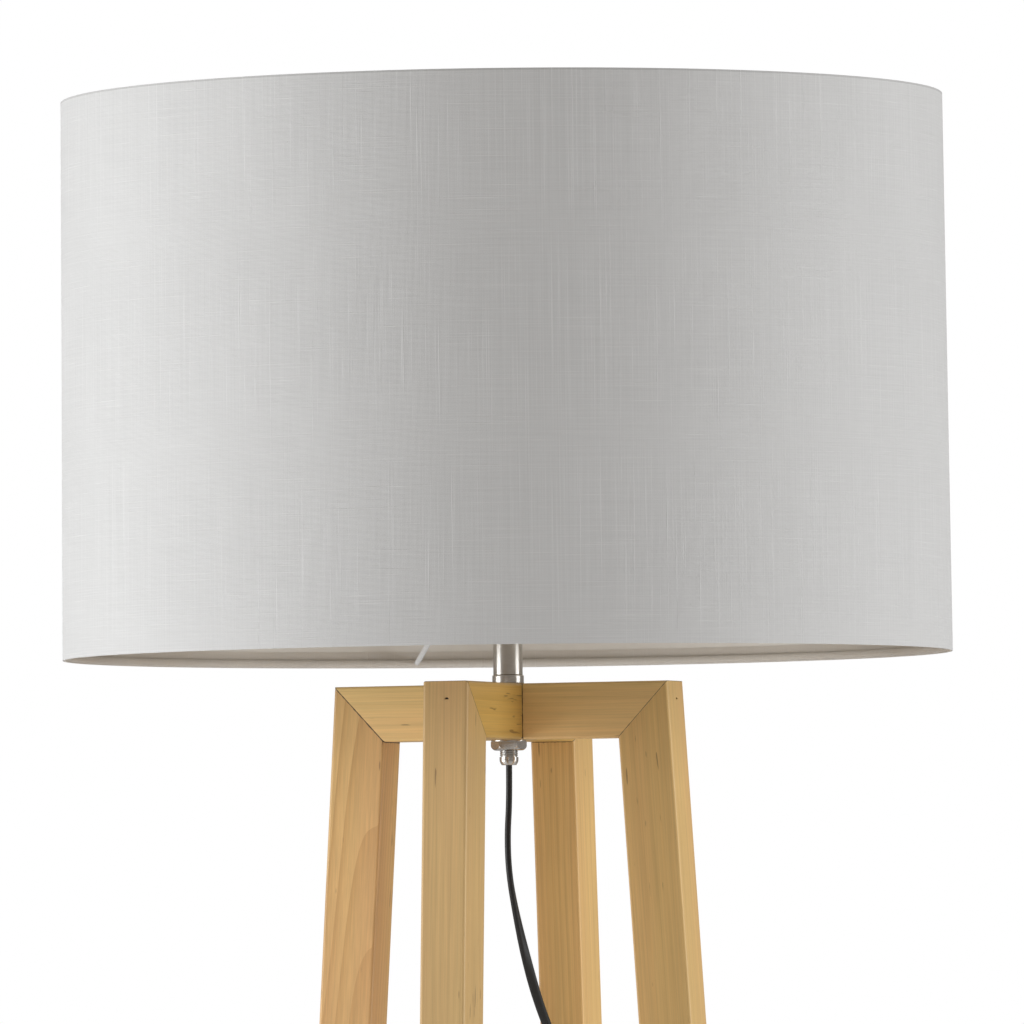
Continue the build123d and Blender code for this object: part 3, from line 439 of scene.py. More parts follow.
# A beam's row: the way it runs, the turn and the shift of the grain, its tint, and the
# shift of the grain in the stretcher below it.
# The beams' tints are painted light and shade: the front-back beam gets a darker, yellower copy of the pine,
# painted shade, and the left-right beam a lighter copy, painted light.
beams = {
    "left_right": (
        Vector((1, 0, 0)), (0, math.pi / 2, 0), (1.270, 0.036, 0.20), (1.27, 1.38, 1.40), (0.36, 0.020, 0.10)
    ),
    "front_back": (
        Vector((0, 1, 0)), (math.pi / 2, 0, 0), (0.040, 1.264, 0.40), (0.97, 0.90, 0.58), (0.030, 0.35, 0.60)
    ),
}
for run, (along, turn, shift, tint, stretcher_shift) in beams.items():
    lines = []
    for way in (-1, 1):
        corner = along * way * half_span + Vector((0, 0, frame_top))
        across = along * way * mitre_across.x + Vector((0, 0, mitre_across.z))
        lines.append((corner, across, glue_line))
        lines.append((along * way * half_timber, along, corner_line))
    # The tint adds this beam's painted shade or painted light to its pine.
    finish = pine(f"pine_top_beam_{run}", turn, shift, lines, 0.22, tint)
    dress(finish, f"top_beam_{run}")
    finish = pine(f"pine_stretcher_{run}", turn, stretcher_shift, [], 0.30, (1, 0.99, 0.97))
    dress(finish, f"stretcher_{run}")
print("splay in degrees:", round(math.degrees(splay), 2))

# %% [markdown]
# ## The twin flex
# Two cores side by side give a flex a flat section with a waist. It leaves the bushing
# edge on, turns flat as it lies on the leg, is clipped down to the floor, and comes out
# of the foot switch again to the plug. What is left of its length lies in a neat coil.
# The route's points are the control points of one smooth curve, and the flex is swept
# along the points of that curve.

# %% Routes of the flex
cord_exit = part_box("end_bushing")[0][2]
splay_rate = math.tan(splay)
flex_gap = 1.703 * millimetre


def leg_line(height):
    """How far out the flex lies on the back leg's inner face at a height."""
    return mitre_inner + (beam_bottom - height) * splay_rate - flex_gap


hanging = [
    (0, 0, cord_exit), (0, 0, 1.193), (0, -0.004, 1.173), (0, -0.002, 1.152), (0, 0.008, 1.131),
    (0, 0.022, 1.108), (0, 0.040, 1.084), (0, 0.062, 1.063), (0, leg_line(1.044), 1.044),
]
along_leg = [(0, leg_line(1.024), 1.024), (0, leg_line(0.072), 0.072), (0, leg_line(0.052), 0.052)]
over_floor = [
    (0, 0.1385, 0.032), (-0.001, 0.130, 0.013), (-0.004, 0.113, 0.0017), (-0.010, 0.094, 0.0017),
    (-0.020, 0.080, 0.0017), (-0.030, 0.064, 0.0032), (-0.030, 0.045, 0.0045),
]
drop_points = hanging + along_leg + over_floor
link_points = [
    (-0.030, -0.065, 0.0045), (-0.030, -0.086, 0.0032), (-0.024, -0.106, 0.0017), (-0.008, -0.120, 0.0017),
    (0.013, -0.122, 0.0017), (0.034, -0.114, 0.0017), (0.050, -0.101, 0.0017), (0.062, -0.0825, 0.0017),
    (0.070, -0.0605, 0.0022), (0.0746, -0.0464, 0.0027),
]
tail_points = [
    (0.0786, 0.004, 0.0066), (0.079, 0.018, 0.0050), (0.079, 0.031, 0.0054), (0.079, 0.043, 0.00685),
]

# %% The coil's turns
coil_centre = Vector((0.045, -0.025, 0))
coil_outer = 35.1 * millimetre
coil_inner = 22.6 * millimetre
turn_apart = 3.5 * millimetre
low_layer = 2.8 * millimetre
high_layer = 8.2 * millimetre
points_per_turn = 18
first_angle = math.radians(-20)
climb_turns = 0.4
inward_turns = (coil_outer - coil_inner) / turn_apart
whole_turns = 7 + 20 / 360
outward_turns = whole_turns - inward_turns - climb_turns

coil_points = []
for step in range(1, round(whole_turns * points_per_turn)):
    turns = step / points_per_turn
    climbed = min(max((turns - inward_turns) / climb_turns, 0), 1)
    outwards = max(turns - inward_turns - climb_turns, 0)
    radius = coil_outer - turn_apart * min(turns, inward_turns) + turn_apart * outwards
    height = low_layer + (high_layer - low_layer) * climbed
    angle = first_angle + 2 * math.pi * turns
    coil_points.append(coil_centre + Vector((radius * math.cos(angle), radius * math.sin(angle), height)))
print("turns:", round(whole_turns, 2), "last radius in mm:", round(radius / millimetre, 1))


# %% Smooth lines through the routes
def smooth_line(name, points, resolution=8):
    """The points of a NURBS curve with these control points."""
    curve = bpy.data.curves.new(name, "CURVE")
    curve.dimensions = "3D"
    curve.resolution_u = resolution
    spline = curve.splines.new("NURBS")
    spline.points.add(len(points) - 1)
    for control, point in zip(spline.points, points):
        control.co = (*point, 1)
    spline.order_u = 3
    spline.use_endpoint_u = True
    guide = bpy.data.objects.new(name, curve)
    scene.collection.objects.link(guide)
    bpy.context.view_layer.update()
    line = [vertex.co.copy() for vertex in bpy.data.meshes.new_from_object(guide).vertices]
    bpy.data.objects.remove(guide)
    return [line[0]] + [b for a, b in zip(line, line[1:]) if (b - a).length > 1e-5]


def length_of(line):
    """The length of a line of points."""
    return sum((b - a).length for a, b in zip(line, line[1:]))


def divided(line, longest):
    """The line with its long steps divided, so that a turning section follows it evenly."""
    points = []
    for a, b in zip(line, line[1:]):
        pieces = max(1, math.ceil((b - a).length / longest))
        points += [a.lerp(b, part / pieces) for part in range(pieces)]
    return points + [line[-1]]


longest_step = 5 * millimetre
drop_line = divided(smooth_line("drop_line", drop_points), longest_step)
lead_line = divided(smooth_line("lead_line", link_points + coil_points + tail_points), longest_step)
lead_length = length_of(lead_line)
print("flex lengths in m:", round(length_of(drop_line), 4), round(lead_length, 4))

# %% A flat flex with a waist
flex_width = 5.4 * millimetre
flex_thickness = 3.4 * millimetre
waist = 0.86


def flex_outline(count=24):
    """Points round the section: two cores side by side, (across, through)."""
    core = flex_thickness / 2
    spread = flex_width / 2 - core
    outline = []
    for step in range(count):
        angle = 2 * math.pi * (step + 0.5) / count
        side = math.copysign(1, math.cos(angle))
        across = side * spread + core * math.cos(angle)
        near_middle = max(0, 1 - abs(across) / spread)
        outline.append((across, core * math.sin(angle) * (1 - (1 - waist) * near_middle)))
    return outline


def flat_flex(name, line, wide_way, material):
    """Sweep the section along a line; wide_way says where its wide side points at a length along it."""
    shape = bmesh.new()
    uv = shape.loops.layers.uv.new("along")
    outline = flex_outline()
    gone = 0.0
    loops = []
    places = []
    for index, point in enumerate(line):
        before = line[max(index - 1, 0)]
        after = line[min(index + 1, len(line) - 1)]
        heading = (after - before).normalized()
        if index:
            gone += (point - line[index - 1]).length
        wide = wide_way(gone, point, heading)
        wide = (wide - heading * wide.dot(heading)).normalized()
        through = heading.cross(wide)
        loops.append([shape.verts.new(point + wide * a + through * t) for a, t in outline])
        places.append(gone)
    for (low, high), (start_at, end_at) in zip(zip(loops, loops[1:]), zip(places, places[1:])):
        for a in range(len(outline)):
            b = (a + 1) % len(outline)
            face = shape.faces.new((low[a], low[b], high[b], high[a]))
            corners = ((a, start_at), (a + 1, start_at), (a + 1, end_at), (a, end_at))
            for loop, (around, distance) in zip(face.loops, corners):
                loop[uv].uv = (around / len(outline), distance / flex_width)
    shape.faces.new(loops[0][::-1])
    shape.faces.new(loops[-1])
    return finish_piece(shape, name, "frame", material, merge=0)


def eased(value, low, high):
    """0 below low, 1 above high, and a smooth step between them."""
    part = min(max((value - low) / (high - low), 0), 1)
    return part * part * (3 - 2 * part)


# Where along its length the flex turns from one way of lying to the next, in metres.
drop_turns_flat = (0.060, 0.165)
lead_turns_on_edge = (0.150, 0.190)
lead_turns_flat = (lead_length - 0.075, lead_length - 0.030)
near_floor = 0.03


def drop_way(gone, point, heading):
    """Edge on at the bushing, flat on the leg, flat on the floor."""
    if point.z <= near_floor:
        return heading.cross(Vector((0, 0, -1)))
    turn = (math.pi / 2 + camera_azimuth) * (1 - eased(gone, *drop_turns_flat))
    return Vector((math.cos(turn), math.sin(turn), 0))


def lead_way(gone, point, heading):
    """Flat on the floor, on edge in the coil, flat again at the plug."""
    level = heading.cross(Vector((0, 0, -1)))
    on_edge = eased(gone, *lead_turns_on_edge) * (1 - eased(gone, *lead_turns_flat))
    turn = math.pi / 2 * on_edge
    return level * math.cos(turn) + Vector((0, 0, 1)) * math.sin(turn)


# %% Flex finish
flex_finish, flex_shader = new_material("flex_black", (0.012, 0.012, 0.012), 0.42)
tree = flex_finish.node_tree
scuffs = speckle(tree, object_coordinates(tree), 900.0, 3.0)
scuffed = maths(tree, "ADD", maths(tree, "MULTIPLY", scuffs, 0.20), 0.32)
tree.links.new(scuffed, flex_shader.inputs["Roughness"])
bump(tree, flex_shader, scuffs, 0.12, 0.05 * millimetre)
flex_shader.inputs["Specular IOR Level"].default_value = 0.45

# %% Sweep the two lengths of flex
drop_flex = flat_flex("drop_flex", drop_line, drop_way, flex_finish)
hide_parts("flex_drop", "flex_leg_run", "flex_floor")
lead_flex = flat_flex("lead_flex", lead_line, lead_way, flex_finish)
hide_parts("flex_link", "flex_coil", "flex_tail")

# %% [markdown]
# ## The drum shade
# Linen is stretched over a stiff liner that hangs between two wire rings. The cloth is
# one sheet, cut to the drum's girth and height, with its ends lapped at a seam on the
# back. Its weave is drawn from the cloth's own UV map, which runs in metres: threads a
# third of a millimetre apart, and now and then a thick thread, the slub that linen has.

# %% Group: linen weave
linen_weave, start, end = new_group(
    "linen_weave",
    [("Cloth", "NodeSocketVector", None)],
    [(label, "NodeSocketFloat") for label in ("Height", "Slub", "Fleck", "Tone")],
)
cloth = start.outputs["Cloth"]
thread_pitch = 0.62 * millimetre


def threads(tree, cloth, way):
    """A height that rises over each thread of one way, and the slubs of that way."""
    wave = add_node(
        tree,
        "ShaderNodeTexWave",
        {"wave_type": "BANDS", "bands_direction": way, "wave_profile": "SIN"},
        Vector=cloth,
        Scale=2 * math.pi / (20 * thread_pitch),
        Distortion=1.6,
        Detail=2.0,
    )
    wave.inputs["Detail Scale"].default_value = 1.5
    scale = (1300, 9, 1) if way == "X" else (16, 1300, 1)
    drawn = add_node(tree, "ShaderNodeVectorMath", {"operation": "MULTIPLY"}, n0=cloth, n1=scale).outputs[0]
    return wave.outputs["Fac"], speckle(tree, drawn, 1.0, 2.0, Roughness=0.6)


warp, warp_slub = threads(linen_weave, cloth, "X")
weft, weft_slub = threads(linen_weave, cloth, "Y")
height = maths(linen_weave, "MULTIPLY", maths(linen_weave, "ADD", warp, weft), 0.5)
slub = maths(linen_weave, "MULTIPLY_ADD", warp_slub, 0.55)
linen_weave.links.new(maths(linen_weave, "MULTIPLY", weft_slub, 0.45), slub.node.inputs[2])
slub = maths(linen_weave, "MULTIPLY", maths(linen_weave, "SUBTRACT", slub, 0.5), 3.0)
thick_warp = over(linen_weave, warp_slub, 0.60, 7.0)
thick_weft = over(linen_weave, weft_slub, 0.62, 7.0)
thick = maths(linen_weave, "MAXIMUM", thick_warp, thick_weft)
fuzzy = maths(linen_weave, "ADD", height, speckle(linen_weave, cloth, 2600.0, 2.0))
height = maths(linen_weave, "ADD", fuzzy, maths(linen_weave, "MULTIPLY", thick, 1.4))
slub = maths(linen_weave, "MULTIPLY", slub, 0.60)
slub = maths(linen_weave, "ADD", slub, maths(linen_weave, "MULTIPLY", thick, 0.75))
fleck = over(linen_weave, speckle(linen_weave, cloth, 420.0, 1.0), 0.80, 12.0)
tone = speckle(linen_weave, cloth, 14.0, 2.0)
linen_weave.links.new(height, end.inputs["Height"])
linen_weave.links.new(slub, end.inputs["Slub"])
linen_weave.links.new(fleck, end.inputs["Fleck"])
linen_weave.links.new(tone, end.inputs["Tone"])


# %% Linen
fabric_low, fabric_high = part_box("shade_fabric")
shade_bottom = fabric_low.z
shade_top = fabric_high.z
shade_height = shade_top - shade_bottom
fold_width = 1.1 * millimetre
# Colour of the painted shade along the cloth's fold over the upper wire.
fold_painted_shade = (0.30, 0.29, 0.28)
husk = (0.35, 0.30, 0.24)


def linen(name, warm, cool, translucency):
    """Woven linen with a UV map in metres."""
    material, shader = new_material(name, warm, 0.9)
    tree = material.node_tree
    cloth = add_node(tree, "ShaderNodeUVMap", {"uv_map": "cloth"}).outputs["UV"]
    weave = place_group(tree, linen_weave, Cloth=cloth)
    slub = maths(tree, "ADD", maths(tree, "MULTIPLY", weave.outputs["Slub"], 0.5), 0.5)
    slub = ramp(tree, slub, [(0.2, warm), (0.8, cool)])
    clouds = ramp(tree, weave.outputs["Tone"], [(0.3, grey(0.975)), (0.7, grey(1.0))])
    toned = mixed(tree, 1.0, slub, clouds, "MULTIPLY")
    flecked = mixed(tree, maths(tree, "MULTIPLY", weave.outputs["Fleck"], 0.35), toned, (*husk, 1))
    # A band about a millimetre each side of the cloth's top edge, where it turns over the upper wire, is
    # darkened: painted shade along the fold.
    up_the_cloth = add_node(tree, "ShaderNodeSeparateXYZ", Vector=cloth).outputs["Y"]
    from_fold = maths(tree, "ABSOLUTE", maths(tree, "SUBTRACT", up_the_cloth, shade_height))
    painted_fold_shadow = maths(tree, "LESS_THAN", from_fold, fold_width)
    flecked = mixed(tree, maths(tree, "MULTIPLY", painted_fold_shadow, 0.28), flecked, (*fold_painted_shade, 1))
    tree.links.new(flecked, shader.inputs["Base Color"])
    shader.inputs["Sheen Weight"].default_value = 0.15
    shader.inputs["Sheen Roughness"].default_value = 0.5
    shader.inputs["Specular IOR Level"].default_value = 0.2
    bump(tree, shader, weave.outputs["Height"], 0.55, 0.25 * millimetre)
    through = add_node(tree, "ShaderNodeBsdfTranslucent", Color=flecked)
    both = add_node(
        tree, "ShaderNodeMixShader", Fac=translucency, n1=shader.outputs[0], n2=through.outputs[0]
    )
    tree.links.new(both.outputs[0], tree.nodes["Material Output"].inputs["Surface"])
    return material


linen_finish = linen("linen", (0.68, 0.675, 0.665), (0.83, 0.825, 0.815), 0.06)
hem_finish = linen("linen_hem", (0.84, 0.785, 0.710), (0.90, 0.850, 0.780), 0.20)

# %% The sheet of linen
radius_bottom = 242.5 * millimetre
radius_top = 240.5 * millimetre
cloth_thickness = 0.6 * millimetre


def drum_radius(height):
    """The cloth's outer radius at a height: the drum is a little narrower at the top."""
    part = (height - shade_bottom) / shade_height
    return radius_bottom + (radius_top - radius_bottom) * part


def drum_cloth(name, outline, material, node, ripple=0.0, around=288):
    """Cloth round the drum, from a closed outline of (radius, height) points, with a UV map in metres."""
    shape = bmesh.new()
    uv = shape.loops.layers.uv.new("cloth")
    girth = 2 * math.pi * radius_bottom / around
    reach = [0.0]
    for (r0, z0), (r1, z1) in zip(outline, outline[1:] + outline[:1]):
        reach.append(reach[-1] + math.hypot(r1 - r0, z1 - z0))
    rings = []
    for radius, height in outline:
        ring = []
        for step in range(around):
            angle = math.pi / 2 + 2 * math.pi * step / around
            spot = Vector((math.cos(angle), math.sin(angle), 0))
            near = radius + ripple * noise.noise(spot * 7 + Vector((0, 0, height * 6)))
            ring.append(shape.verts.new(spot * near + Vector((0, 0, height))))
        rings.append(ring)
    for index, ring in enumerate(rings):
        above = rings[(index + 1) % len(rings)]
        for step in range(around):
            beside = (step + 1) % around
            face = shape.faces.new((ring[step], ring[beside], above[beside], above[step]))
            corners = ((step, index), (step + 1, index), (step + 1, index + 1), (step, index + 1))
            for loop, (turn, row) in zip(face.loops, corners):
                loop[uv].uv = (girth * turn, reach[row])
    piece = finish_piece(shape, name, "shade", material, merge=0)
    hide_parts(node)
    return piece


rows = 24
levels = [shade_bottom + shade_height * row / rows for row in range(rows + 1)]
outline = [(drum_radius(height), height) for height in levels]
outline += [(drum_radius(height) - cloth_thickness, height) for height in levels[::-1]]
linen_sheet = drum_cloth("linen_sheet", outline, linen_finish, "shade_fabric", ripple=0.15 * millimetre)

# %% Hems rolled over the wire rings
liner_thickness = 0.8 * millimetre
wire_radius = 1.5 * millimetre
hem_depth = 9 * millimetre
hem_cloth = 0.5 * millimetre
roll_radius = wire_radius + hem_cloth
roll_points = 10
roll_gap = 1 * millimetre
roll_start, roll_end = math.radians(20), math.radians(300)
roll_flattened = 0.9


def hem_outline(edge, inwards):
    """Cloth glued up inside the liner, then round the wire, a little flattened on its outer side."""
    glued = drum_radius(edge) - cloth_thickness - liner_thickness
    wire = (glued - hem_cloth - wire_radius, edge + inwards * (roll_gap + wire_radius))
    outline = [(glued, edge), (glued, edge + inwards * hem_depth)]
    outline += [(glued - hem_cloth, edge + inwards * hem_depth)]
    for step in range(roll_points + 1):
        angle = roll_start + (roll_end - roll_start) * step / roll_points
        along = roll_radius * math.cos(angle)
        if along > 0:
            along *= roll_flattened
        outline.append((wire[0] + along, wire[1] + inwards * roll_radius * math.sin(angle)))
    return outline


for end, edge, inwards in (("lower", shade_bottom, 1), ("upper", shade_top, -1)):
    hem = drum_cloth(f"hem_{end}", hem_outline(edge, inwards), hem_finish, f"shade_hem_{end}")

# %% Liner
liner_finish, liner_shader = new_material("liner", (0.80, 0.785, 0.75), 0.5)
tree = liner_finish.node_tree
mottle = speckle(tree, object_coordinates(tree), 60.0, 4.0)
tint = ramp(tree, mottle, [(0.3, (0.83, 0.79, 0.73)), (0.7, (0.88, 0.85, 0.79))])
tree.links.new(tint, liner_shader.inputs["Base Color"])
bump(tree, liner_shader, mottle, 0.15, 0.3 * millimetre)
dress(liner_finish, "shade_liner")

# %% The seam's overlap, on the CAD strip
seam_finish, seam_shader = new_material("linen_seam", (0.74, 0.725, 0.69), 0.9)
tree = seam_finish.node_tree
flat_place = object_coordinates(tree)
upright = add_node(tree, "ShaderNodeMapping", Vector=flat_place, Rotation=(math.pi / 2, 0, 0)).outputs[0]
weave = place_group(tree, linen_weave, Cloth=upright)
seam_slub = maths(tree, "ADD", weave.outputs["Slub"], 0.5)
seam_tint = ramp(tree, seam_slub, [(0.2, (0.70, 0.68, 0.65)), (0.8, (0.79, 0.78, 0.75))])
tree.links.new(seam_tint, seam_shader.inputs["Base Color"])
bump(tree, seam_shader, weave.outputs["Height"], 0.5, 0.25 * millimetre)
dress(seam_finish, "shade_seam")

# %% [markdown]
# ## Metals
# Nickel plate on the stem and its fixings is turned on a lathe, so its fine lines run
# round the axis. The drum's wires are dipped in white enamel.

# %% Group: turned metal
turned_lines, start, end = new_group(
    "turned_lines",
    [("Place", "NodeSocketVector", None), ("Lines", "NodeSocketFloat", 5200.0)],
    [("Height", "NodeSocketFloat"), ("Wear", "NodeSocketFloat")],
)
height_only = add_node(turned_lines, "ShaderNodeSeparateXYZ", Vector=start.outputs["Place"]).outputs["Z"]
rung = maths(turned_lines, "MULTIPLY", height_only, start.outputs["Lines"])
one_way = {"noise_dimensions": "1D"}
lines = add_node(turned_lines, "ShaderNodeTexNoise", one_way, W=rung, Scale=1.0, Detail=2.0)
worn = speckle(turned_lines, start.outputs["Place"], 120.0, 4.0)
turned_lines.links.new(lines.outputs["Fac"], end.inputs["Height"])
turned_lines.links.new(worn, end.inputs["Wear"])


def turned_metal(name, colour, roughness, depth=0.25):
    """A plated metal with fine turned lines and slightly uneven polish."""
    material, shader = new_material(name, colour, roughness, 1.0)
    tree = material.node_tree
    surface = place_group(tree, turned_lines, Place=object_coordinates(tree))
    polish = maths(tree, "ADD", maths(tree, "MULTIPLY", surface.outputs["Wear"], 0.16), roughness - 0.08)
    tree.links.new(polish, shader.inputs["Roughness"])
    worn_tint = [(0.3, tuple(0.88 * c for c in colour)), (0.7, colour)]
    tree.links.new(ramp(tree, surface.outputs["Wear"], worn_tint), shader.inputs["Base Color"])
    bump(tree, shader, surface.outputs["Height"], depth, 0.02 * millimetre)
    return material


nickel = turned_metal("nickel", (0.62, 0.59, 0.55), 0.24)
steel = turned_metal("steel", (0.50, 0.49, 0.47), 0.34)
brass = turned_metal("brass", (0.72, 0.52, 0.22), 0.28)
dress(nickel, "stem_sleeve", "stem_collar", "hex_nut", "bottom_washer", "end_bushing", "plug_pins")
dress(steel, "clip_nails", "glide_nails", "terminal_screws", "threaded_tube")
dress(turned_metal("dull_steel", (0.10, 0.075, 0.055), 0.55), "mitre_brads")
dress(brass, "screw_shell", "centre_contact", "bulb_contact")

# %% White enamel on the wires and the hub
enamel, enamel_shader = new_material("white_enamel", (0.80, 0.80, 0.79), 0.30)
tree = enamel.node_tree
pool = speckle(tree, object_coordinates(tree), 260.0, 3.0)
pooled = ramp(tree, pool, [(0.3, grey(0.74)), (0.7, grey(0.82))])
tree.links.new(pooled, enamel_shader.inputs["Base Color"])
enamel_shader.inputs["Coat Weight"].default_value = 0.5
enamel_shader.inputs["Coat Roughness"].default_value = 0.12
bump(tree, enamel_shader, pool, 0.10, 0.2 * millimetre)
dress(enamel, "shade_wire_lower", "shade_wire_upper", "shade_spokes", "shade_hub")

# %% [markdown]
# ## Plastics, porcelain, glass and beech
# Moulded plastic has a fine spark-eroded grain.


# %% Group: moulded grain
moulded_grain, start, end = new_group(
    "moulded_grain",
    [("Place", "NodeSocketVector", None), ("Scale", "NodeSocketFloat", 2400.0)],
    [("Height", "NodeSocketFloat"), ("Wear", "NodeSocketFloat")],
)
spark = add_node(moulded_grain, "ShaderNodeTexNoise", Vector=start.outputs["Place"], Detail=2.0)
moulded_grain.links.new(start.outputs["Scale"], spark.inputs["Scale"])
rub = add_node(moulded_grain, "ShaderNodeTexNoise", Vector=start.outputs["Place"], Scale=70.0, Detail=5.0)
moulded_grain.links.new(spark.outputs["Fac"], end.inputs["Height"])
moulded_grain.links.new(rub.outputs["Fac"], end.inputs["Wear"])


def moulded(name, colour, roughness, grain=0.3, scale=2400.0):
    """A moulded material whose polish varies a little where hands rub it."""
    material, shader = new_material(name, colour, roughness)
    tree = material.node_tree
    surface = place_group(tree, moulded_grain, Place=object_coordinates(tree), Scale=scale)
    polish = maths(tree, "ADD", maths(tree, "MULTIPLY", surface.outputs["Wear"], 0.18), roughness - 0.09)
    tree.links.new(polish, shader.inputs["Roughness"])
    rubbed = [(0.3, tuple(0.90 * c for c in colour)), (0.7, colour)]
    tree.links.new(ramp(tree, surface.outputs["Wear"], rubbed), shader.inputs["Base Color"])
    bump(tree, shader, surface.outputs["Height"], grain, 0.03 * millimetre)
    return material


black_plastic = moulded("black_plastic", (0.016, 0.016, 0.017), 0.40)
soft_black = moulded("soft_black", (0.013, 0.013, 0.014), 0.52, grain=0.4, scale=1600.0)
dress(black_plastic, "holder_cap", "holder_shell", "shade_ring_lower", "shade_ring_upper", "bulb_insulator")
dress(black_plastic, "switch_base", "switch_cover", "foot_button", "plug_body", "cord_clips")
dress(soft_black, "inner_lead", "foot_glides")
dress(moulded("core_insulation", (0.05, 0.12, 0.32), 0.45), "lead_cores")
dress(moulded("porcelain", (0.78, 0.77, 0.74), 0.22, grain=0.12, scale=500.0), "holder_insert")
dress(moulded("bulb_white", (0.80, 0.80, 0.79), 0.35, grain=0.15), "bulb_neck")

# %% Opal glass
opal, opal_shader = new_material("bulb_opal", (0.86, 0.855, 0.84), 0.32)
tree = opal.node_tree
powder = speckle(tree, object_coordinates(tree), 300.0, 3.0)
powdered = ramp(tree, powder, [(0.3, (0.83, 0.82, 0.80)), (0.7, (0.88, 0.875, 0.86))])
tree.links.new(powdered, opal_shader.inputs["Base Color"])
opal_shader.inputs["Subsurface Weight"].default_value = 0.25
opal_shader.inputs["Subsurface Scale"].default_value = 4 * millimetre
opal_shader.inputs["Coat Weight"].default_value = 0.4
opal_shader.inputs["Coat Roughness"].default_value = 0.15
bump(tree, opal_shader, powder, 0.05, 0.05 * millimetre)
dress(opal, "bulb_globe")

# %% Beech dowels
beech, beech_shader = new_material("beech", (0.52, 0.34, 0.19), 0.5)
tree = beech.node_tree
pores = speckle(tree, object_coordinates(tree), 900.0, 2.0)
pored = ramp(tree, pores, [(0.35, (0.40, 0.25, 0.13)), (0.6, (0.55, 0.37, 0.21))])
tree.links.new(pored, beech_shader.inputs["Base Color"])
bump(tree, beech_shader, pores, 0.2, 0.05 * millimetre)
dress(beech, "mitre_dowels", "stretcher_dowels")

# %% [markdown]
# ## Strain reliefs and the bulb's thread
# A moulded strain relief is a cone cut into ribs, so that it bends more and more easily
# towards its thin end. The bulb's cap has a rolled thread: its radius rises and falls
# once for each turn of the screw, so it is a wave in height less the turn.

# %% Ribbed strain reliefs
relief_length = 20 * millimetre
relief_ribs = 7
rib_depth = 0.45 * millimetre
narrow_radius = 2.9 * millimetre
switch_relief_radius = 4.3 * millimetre
plug_relief_radius = 4.6 * millimetre
cone_steps = 32
# One rib: how far along its pitch a corner lies, and whether the corner is cut in.
rib_corners = ((0, 0), (0.55, 0), (0.65, 1), (0.9, 1))


def ribbed_cone(wide_end, heading, wide_radius):
    """A ribbed cone that starts at wide_end and points along heading."""
    pitch = relief_length / relief_ribs
    profile = [(0, 0)]
    for rib in range(relief_ribs):
        bottom = pitch * rib
        for along, cut in rib_corners:
            height = bottom + along * pitch
            part = height / relief_length
            radius = wide_radius + (narrow_radius - wide_radius) * part
            profile.append((radius - cut * rib_depth, height))
    profile += [(narrow_radius, relief_length), (0, relief_length)]
    cone = spun(profile, cone_steps)
    turn = Vector(heading).to_track_quat("Z", "Y").to_matrix().to_4x4()
    bmesh.ops.transform(cone, matrix=Matrix.Translation(wide_end) @ turn, verts=cone.verts)
    return cone


switch_low, switch_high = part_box("switch_base")
plug_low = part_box("plug_body")[0]
# Where each relief's wide end is, the way it points along Y, its radius and its node.
drop_end = (drop_points[-1][0], switch_high.y, drop_points[-1][2])
lead_end = (link_points[0][0], switch_low.y, link_points[0][2])
plug_end = (tail_points[-1][0], plug_low.y, tail_points[-1][2])
on_the_flex = {
    "drop_relief": (drop_end, 1, switch_relief_radius, "switch_reliefs"),
    "lead_relief": (lead_end, -1, switch_relief_radius, "switch_reliefs"),
    "plug_relief_ribs": (plug_end, -1, plug_relief_radius, "plug_relief"),
}
reliefs = {}
for name, (wide_end, way, wide_radius, node) in on_the_flex.items():
    cone = ribbed_cone(wide_end, (0, way, 0), wide_radius)
    reliefs[name] = finish_piece(cone, name, "frame", soft_black)
    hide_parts(node)

# %% The bulb's rolled thread
cap_low, cap_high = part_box("bulb_screw_cap")
cap_radius = cap_high.x
screw_pitch = 2 * math.pi * frame["record"]["behaviour"]["couplings"][0]["ratio"]
thread_depth = 0.9 * millimetre
plain_skirt = (3.0 * millimetre, 5.5 * millimetre)
plain_foot = (0.3 * millimetre, 2.0 * millimetre)
cap_rows = 72
cap_steps = 72
thread_shape = bmesh.new()
levels = [cap_low.z + (cap_high.z - cap_low.z) * row / cap_rows for row in range(cap_rows + 1)]
thread_rings = []
for height in levels:
    threaded = eased(height, cap_high.z - plain_skirt[0], cap_high.z - plain_skirt[1])
    threaded *= eased(height, cap_low.z + plain_foot[0], cap_low.z + plain_foot[1])
    ring = []
    for step in range(cap_steps):
        angle = 2 * math.pi * step / cap_steps
        wave = 0.5 - 0.5 * math.cos(2 * math.pi * height / screw_pitch - angle)
        radius = cap_radius - thread_depth * wave * threaded
        ring.append(thread_shape.verts.new((radius * math.cos(angle), radius * math.sin(angle), height)))
    thread_rings.append(ring)
skinned(thread_shape, thread_rings)
cap_metal = turned_metal("cap_metal", (0.58, 0.56, 0.53), 0.30)
bulb_thread = finish_piece(thread_shape, "bulb_thread", "bulb", cap_metal, sharp_angle=60)
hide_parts("bulb_screw_cap")

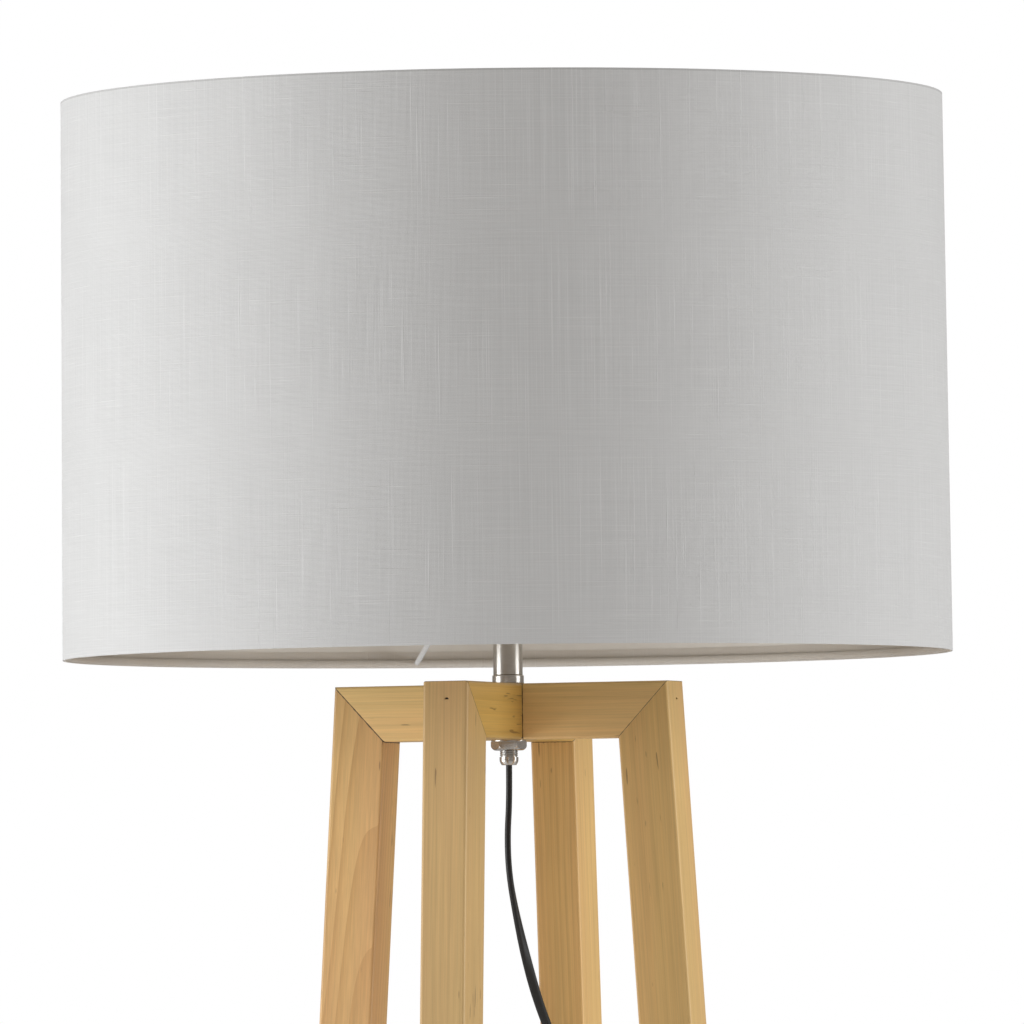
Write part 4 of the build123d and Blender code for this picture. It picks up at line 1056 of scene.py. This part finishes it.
# %% The spring under the foot button
# A compression spring gets shorter as the button goes down.
spring_low, spring_high = (Vector(corner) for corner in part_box("switch_spring"))
spring_wire = 0.5 * millimetre
spring_pitch = 2.4 * millimetre
spring_centre = (spring_low + spring_high) / 2
spring_radius = (spring_high.x - spring_low.x) / 2 - spring_wire
spring_rise = spring_high.z - spring_low.z - 2 * spring_wire
steps_per_coil = 24
spring_steps = steps_per_coil * round(spring_rise / spring_pitch)
wire_sides = 10
spring_shape = bmesh.new()
loops = []
for step in range(spring_steps + 1):
    angle = 2 * math.pi * step * spring_rise / spring_pitch / spring_steps
    radial = Vector((math.cos(angle), math.sin(angle), 0))
    middle = Vector((spring_centre.x, spring_centre.y, spring_low.z + spring_wire)) + radial * spring_radius
    middle.z += spring_rise * step / spring_steps
    loop = []
    for side in range(wire_sides):
        around = 2 * math.pi * side / wire_sides
        rim = radial * math.cos(around) + Vector((0, 0, math.sin(around)))
        loop.append(spring_shape.verts.new(middle + rim * spring_wire))
    loops.append(loop)
skinned(spring_shape, loops)
coil_spring = finish_piece(spring_shape, "coil_spring", "frame", steel, merge=0)
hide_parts("switch_spring")
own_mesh(coil_spring)

switch_pieces = [nodes[name] for name in ("switch_base", "switch_cover", "foot_button")]
switch_pieces += [coil_spring, reliefs["drop_relief"]]

# %% [markdown]
# ## Light, floor and backdrop
# The room is a white sweep. The camera sees the backdrop as plain white, while the
# lamp is lit by a dimmer room and two tall soft boxes, the left one brighter.

# %% Backdrop
room = bpy.data.worlds.new("room")
room.use_nodes = True
scene.world = room
tree = room.node_tree
background = tree.nodes["Background"]
seen = add_node(tree, "ShaderNodeLightPath").outputs["Is Camera Ray"]
room_light = 0.29
room_tint = (1.0, 0.94, 0.89)
strength = maths(tree, "ADD", maths(tree, "MULTIPLY", seen, 1.0 - room_light), room_light)
tree.links.new(strength, background.inputs["Strength"])
tree.links.new(mixed(tree, seen, (*room_tint, 1), (1, 1, 1, 1)), background.inputs["Color"])
scene.view_settings.view_transform = "Standard"


# %% Soft boxes
daylight = (0.955, 0.98, 1.0)


def soft_box(name, azimuth, distance, height, aim_height, size, watts):
    """A rectangular light aimed at the lamp's axis, at an azimuth counted from the camera's side."""
    light = bpy.data.lights.new(name, "AREA")
    light.shape = "RECTANGLE"
    light.size = size[0]
    light.size_y = size[1]
    light.energy = watts
    light.color = daylight
    lamp = bpy.data.objects.new(name, light)
    around = camera_azimuth + math.radians(azimuth)
    place = Vector((distance * math.sin(around), -distance * math.cos(around), height))
    aim = Vector((0, 0, aim_height)) - place
    lamp.matrix_world = Matrix.Translation(place) @ aim.to_track_quat("-Z", "Y").to_matrix().to_4x4()
    scene.collection.objects.link(lamp)


soft_box("left_box", -78, 2.2, 1.25, 1.15, (1.3, 2.2), 41)
soft_box("right_box", 80, 2.4, 1.25, 1.15, (1.2, 2.2), 36)
soft_box("front_fill", -15, 4.0, 2.2, 1.0, (1.6, 1.6), 15)

# %% Floor
floor_reach = 6
floor_shape = bmesh.new()
bmesh.ops.create_grid(floor_shape, x_segments=1, y_segments=1, size=floor_reach)
floor_mesh = bpy.data.meshes.new("floor")
floor_shape.to_mesh(floor_mesh)
floor_shape.free()
floor = bpy.data.objects.new("floor", floor_mesh)
scene.collection.objects.link(floor)
floor_finish, floor_shader = new_material("pale_floor", (0.80, 0.80, 0.80), 0.6)
floor_mesh.materials.append(floor_finish)
